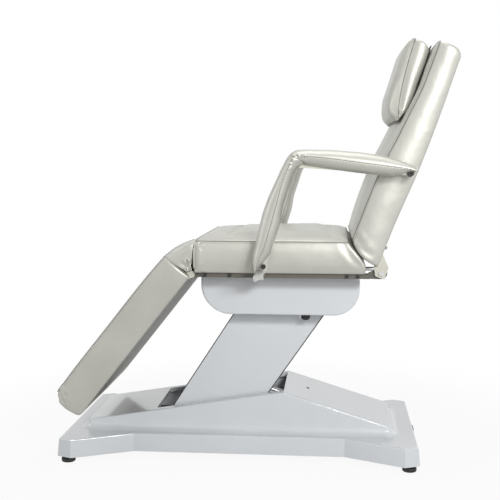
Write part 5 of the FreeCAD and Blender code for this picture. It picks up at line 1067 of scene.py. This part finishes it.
kneeCover = {
    "half": 291.0,
    "corner": 22.0,
    # the cover over the knee between the leg rest and the seat: x and z on the side view
    "line": [
        (-262, 641), (-254, 646), (-244, 650), (-232, 655), (-220, 661),
        (-208, 668), (-197, 675), (-187, 680), (-179, 682), (-172, 681),
    ],
    "gather": (-184.0, 592.0),  # both sides run down to here
    "reach": 9.0,
    "crown": 1.5,
    "thick": 3.0,
    "sections": 22,
    "sideSteps": 8,
    "cornerSteps": 5,
    "acrossSteps": 41,
    # places of the two side pleats between the gather and the seat's front
    "pleats": [
        [(-193.3, 631.5), (-188.5, 616.0), (-185.0, 603.0)],
        [(-181.8, 629.0), (-182.5, 612.0), (-183.0, 600.0)],
    ],
    "pleat": {"depth": 0.0036, "width": 0.0024, "lip": 0.5},
    "pucker": {"at": (-186, 608), "reach": 0.034, "count": 7, "depth": 0.0010},
}


def kneeSection(foot, way, radius):
    # one section of the hood, fanned out from the hinge: a side, a rounded corner, the top and back down
    p = kneeCover
    corner, wide = p["corner"], p["half"]
    climb = radius - corner - p["reach"]
    half = [(p["reach"] + climb * (n / p["sideSteps"]), wide) for n in range(p["sideSteps"] + 1)]
    for n in range(1, p["cornerSteps"] + 1):
        turn = n / p["cornerSteps"] * math.pi / 2
        half.append((radius - corner + corner * math.sin(turn), wide - corner + corner * math.cos(turn)))
    across = np.linspace(wide - corner, corner - wide, p["acrossSteps"] + 1)[1:-1]
    middle = [(radius + p["crown"] * math.cos(y / wide * math.pi / 2), y) for y in across]
    ring = half + middle + [(r, -y) for r, y in half[::-1]]
    return [tuple((foot + way * r + Vector((0, y, 0))) / 1000) for r, y in ring]


def makeKneeCover():
    # a sheet swept over the knee, its sides drawn down to the hinge, then given a cover's thickness
    p = kneeCover
    foot = Vector((p["gather"][0], 0, p["gather"][1]))
    rows = []
    for x, z in resample(p["line"], p["sections"]):
        rim = Vector((x, 0, z)) - foot
        rows.append(kneeSection(foot, rim.normalized(), rim.length))
    wide = len(rows[0])
    faces = [
        (n * wide + m, n * wide + m + 1, (n + 1) * wide + m + 1, (n + 1) * wide + m)
        for n in range(len(rows) - 1)
        for m in range(wide - 1)
    ]
    obj = newMesh("kneeCover", [q for row in rows for q in row], faces)
    faceOutward(obj)
    top = obj.data.polygons[len(obj.data.polygons) // 2]
    if top.normal.z < 0:
        bpy.ops.object.mode_set(mode="EDIT")
        bpy.ops.mesh.flip_normals()
        bpy.ops.object.mode_set(mode="OBJECT")
    softFinish(obj)
    for side in (-1, 1):
        y = side * p["half"]
        for path in p["pleats"]:
            foldLine(obj, [onSeat(x, y, z) for x, z in path], p["pleat"])
        x, z = p["pucker"]["at"]
        gathers(obj, onSeat(x, y, z), (0, side, 0), p["pucker"])
    wall = obj.modifiers.new("thickness", "SOLIDIFY")
    wall.thickness = p["thick"] / 1000
    wall.offset = -1
    bpy.ops.object.modifier_apply(modifier=wall.name)
    bpy.ops.object.shade_smooth()
    obj.data.materials.clear()
    obj.data.materials.append(finish["pearlVinyl"])
    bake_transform(obj)
    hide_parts("knee_flap")


makeKneeCover()
print("stage: knee cover")

armrest = {
    "inner": 308.0,
    "outer": 378.0,
    "power": 2.0,  # how square the stuffed section is: 2 is an ellipse
    "pinch": 1.2,  # mm that the side seam pulls in
    "pinchShare": 0.14,  # of the height from the seam, over which the pinch fades
    "sections": 64,  # along each bar
    "turns": 18,  # points round each half of a section
    # the domed ends: turns of their closing rings, and mm of swelling where the bar is thick or runs out thin
    "endTurns": (0.5, 0.95, 1.3),
    "thick": 12,
    "thickSwell": 2.5,
    "thinSwell": 0.6,
    # side view of the pad: its top at the middle, its side seam and its underside, from the elbow back
    "padTop": [
        (116.6, 947.5), (130.5, 955.9), (156.6, 957.9), (230, 956.4), (321.6, 948.7), (382.4, 938.9),
        (427.7, 926), (458.1, 915.4), (470.2, 910.9), (473.9, 903.4), (474.1, 895.5),
    ],
    "padSeam": [
        (122.8, 938), (139.6, 939.7), (199.9, 934.9), (260.6, 927.7), (320.9, 919.4), (380.8, 911.7),
        (440.3, 904.5), (462, 898.5), (472.6, 895),
    ],
    "padLow": [
        (159.9, 917.0), (169, 911.0), (230.5, 901.0), (291.7, 893.0), (352.6, 886.0), (398.3, 882),
        (428.3, 885.1), (443.3, 891), (452.4, 893.2), (473.0, 894.1),
    ],
    # the strut: its foot-end side, its side seam and its rear side, from the elbow down
    "strutLeft": [
        (116.6, 947.5), (104.5, 932.2), (88.9, 901.4), (70.5, 861.3), (52, 821), (36.6, 777.4),
        (24.2, 727.6), (13.3, 679.7), (6.1, 652.4), (3.5, 626.9), (6.1, 611.8), (14.2, 596.2),
    ],
    "strutSeam": [
        (128, 935), (116.7, 923), (91.1, 856), (76, 795.1), (57.8, 730.5), (42.5, 677.8),
        (27.8, 647.1), (23.2, 629.9), (20.4, 616.1), (17.2, 601.7),
    ],
    "strutRight": [
        (159.9, 918.4), (138, 905), (127.5, 893), (117, 861.4), (97, 799.8), (89.4, 753.1), (72.9, 700.4),
        (60.9, 663), (46.6, 642.4), (33.6, 627.2), (26.4, 615.8), (18.3, 603.5), (15.2, 597.2),
    ],
    # where the covers are pulled together at the elbow, and how far inside their faces
    "padGather": (143.0, 930.0),
    "strutGather": (128.0, 915.0),
    "gatherInset": 3,
    "pucker": {"reach": 0.022, "count": 6, "depth": 0.0008},
    # metres from the seam to its row of stitches, and out of the face
    "padRow": (0, 0, -0.0040),
    "strutRow": (0.0040, 0, 0),
    "rowOut": 0.0006,
}


def domedEnd(ring, beside):
    # rings that close a bar's end
    p = armrest
    centre = ring.mean(axis=0)
    ahead = centre - beside.mean(axis=0)
    way = ahead / np.linalg.norm(ahead)
    quarter = p["turns"] // 2
    thick = np.linalg.norm(ring[quarter] - ring[3 * quarter]) > p["thick"]
    swell = p["thickSwell"] if thick else p["thinSwell"]
    return [centre + (ring - centre) * math.cos(a) + way * swell * math.sin(a) for a in p["endTurns"]]


def stuffedBar(name, paths, sign):
    # a bar of foam in a sewn cover: rounded above and below a seam that runs along its sides
    p = armrest
    middle, half = sign * (p["inner"] + p["outer"]) / 2, (p["outer"] - p["inner"]) / 2
    turns = np.linspace(0, math.pi, p["turns"] + 1)[:-1]
    rings = []
    for top, seam, low in zip(*(np.array(resample(path, p["sections"])) for path in paths)):
        ring = []
        for edge, start in ((top, 0), (low, math.pi)):
            for a in turns + start:
                across = math.copysign(abs(math.cos(a)) ** (2 / p["power"]), math.cos(a))
                rise = abs(math.sin(a)) ** (2 / p["power"])
                across *= 1 - p["pinch"] / half * math.exp(-((rise / p["pinchShare"]) ** 2))
                q = seam + (edge - seam) * rise
                ring.append((q[0], middle + across * half, q[1]))
        rings.append(np.array(ring))
    seams = [[ring[m] / 1000 for ring in rings] for m in (0, p["turns"])]
    rings = domedEnd(rings[0], rings[1])[::-1] + rings + domedEnd(rings[-1], rings[-2])
    wide = len(rings[0])
    points = [tuple(q / 1000) for ring in rings for q in ring]
    faces = [
        (n * wide + m, n * wide + (m + 1) % wide, (n + 1) * wide + (m + 1) % wide, (n + 1) * wide + m)
        for n in range(len(rings) - 1)
        for m in range(wide)
    ]
    faces += [tuple(range(wide)), tuple(range(len(points) - wide, len(points)))]
    obj = newMesh(name, points, faces)
    faceOutward(obj)
    return obj, seams


def makeArmrest(side, sign):
    p = armrest
    for name, body, paths, spot, drop in (
        ("armPad_", "arm_pad_", ("padTop", "padSeam", "padLow"), p["padGather"], p["padRow"]),
        ("strutCover_", "strut_", ("strutLeft", "strutSeam", "strutRight"), p["strutGather"], p["strutRow"]),
    ):
        name += side
        body += side
        bar, seams = stuffedBar(name, [p[path] for path in paths], sign)
        softFinish(bar)
        for face, turn in ((p["outer"] - p["gatherInset"], sign), (p["inner"] + p["gatherInset"], -sign)):
            gathers(bar, onSeat(spot[0], sign * face, spot[1]), (0, turn, 0), p["pucker"])
        dress(bar, "pearlVinyl", body)
        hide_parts(body)
        thread(name + "Seam", seams, body)
        for run, turn, label in zip(seams, (sign, -sign), ("Outer", "Inner")):
            row = [q + np.array(drop) + np.array([0, p["rowOut"] * turn, 0]) for q in run[2:-2]]
            stitches(name + "Stitches" + label, [row], body, sewing["armrest"])


makeArmrest("left", -1)
makeArmrest("right", 1)
print("stage: armrests")

hardFinish = {
    "glossyWhite": [
        "base_cover", "seat_housing",
        "arm_panel_left", "arm_panel_right", "arm_front_cover", "arm_rear_cover",
    ],
    "darkTrim": ["arm_edge_trims"],
    "blackRubber": ["foot_pads", "housing_bumper", "arm_knobs", "arm_bolts"],
    "greySteel": [
        "base_frame", "lift_brackets", "link_bracket", "motor_beam", "cover_strap", "arm_frame", "link_bars",
    ],
    "railSteel": ["seat_frame"],
    # the brackets' white steel carries painted shade: its colour is greyed to stand for the shadow under the
    # seat
    "shadeGreyedWhiteSteel": ["arm_brackets"],
    "beigeSteel": [
        "back_frame", "leg_frame",
        "arm_pad_core_left", "arm_pad_core_right", "strut_core_left", "strut_core_right",
    ],
    "darkSteel": ["seat_bolts", "cover_screw"],
    "brightSteel": [
        "foot_studs", "lift_axle", "base_pins", "crank_pin", "lift_rod", "seat_axle", "link_pin_upper",
        "bumper_tab", "strut_bolts", "back_rod", "leg_rod", "back_caps",
    ],
    "motorPlastic": ["lift_motor", "back_motor", "leg_motor", "control_box", "mains_inlet"],
    "plywood": ["seat_board", "back_board"],
    "hookAndLoop": ["back_loop_pad", "head_hook_pad"],
    "greyPanel": ["leg_panel", "back_panel"],
}
for look, names in hardFinish.items():
    for name in names:
        obj = nodes[name]
        if not obj.material_slots:
            obj.data.materials.append(finish[look])
        for slot in obj.material_slots:
            slot.material = finish[look]
print("stage: hard parts finished")

deselect()
print("stage: done")
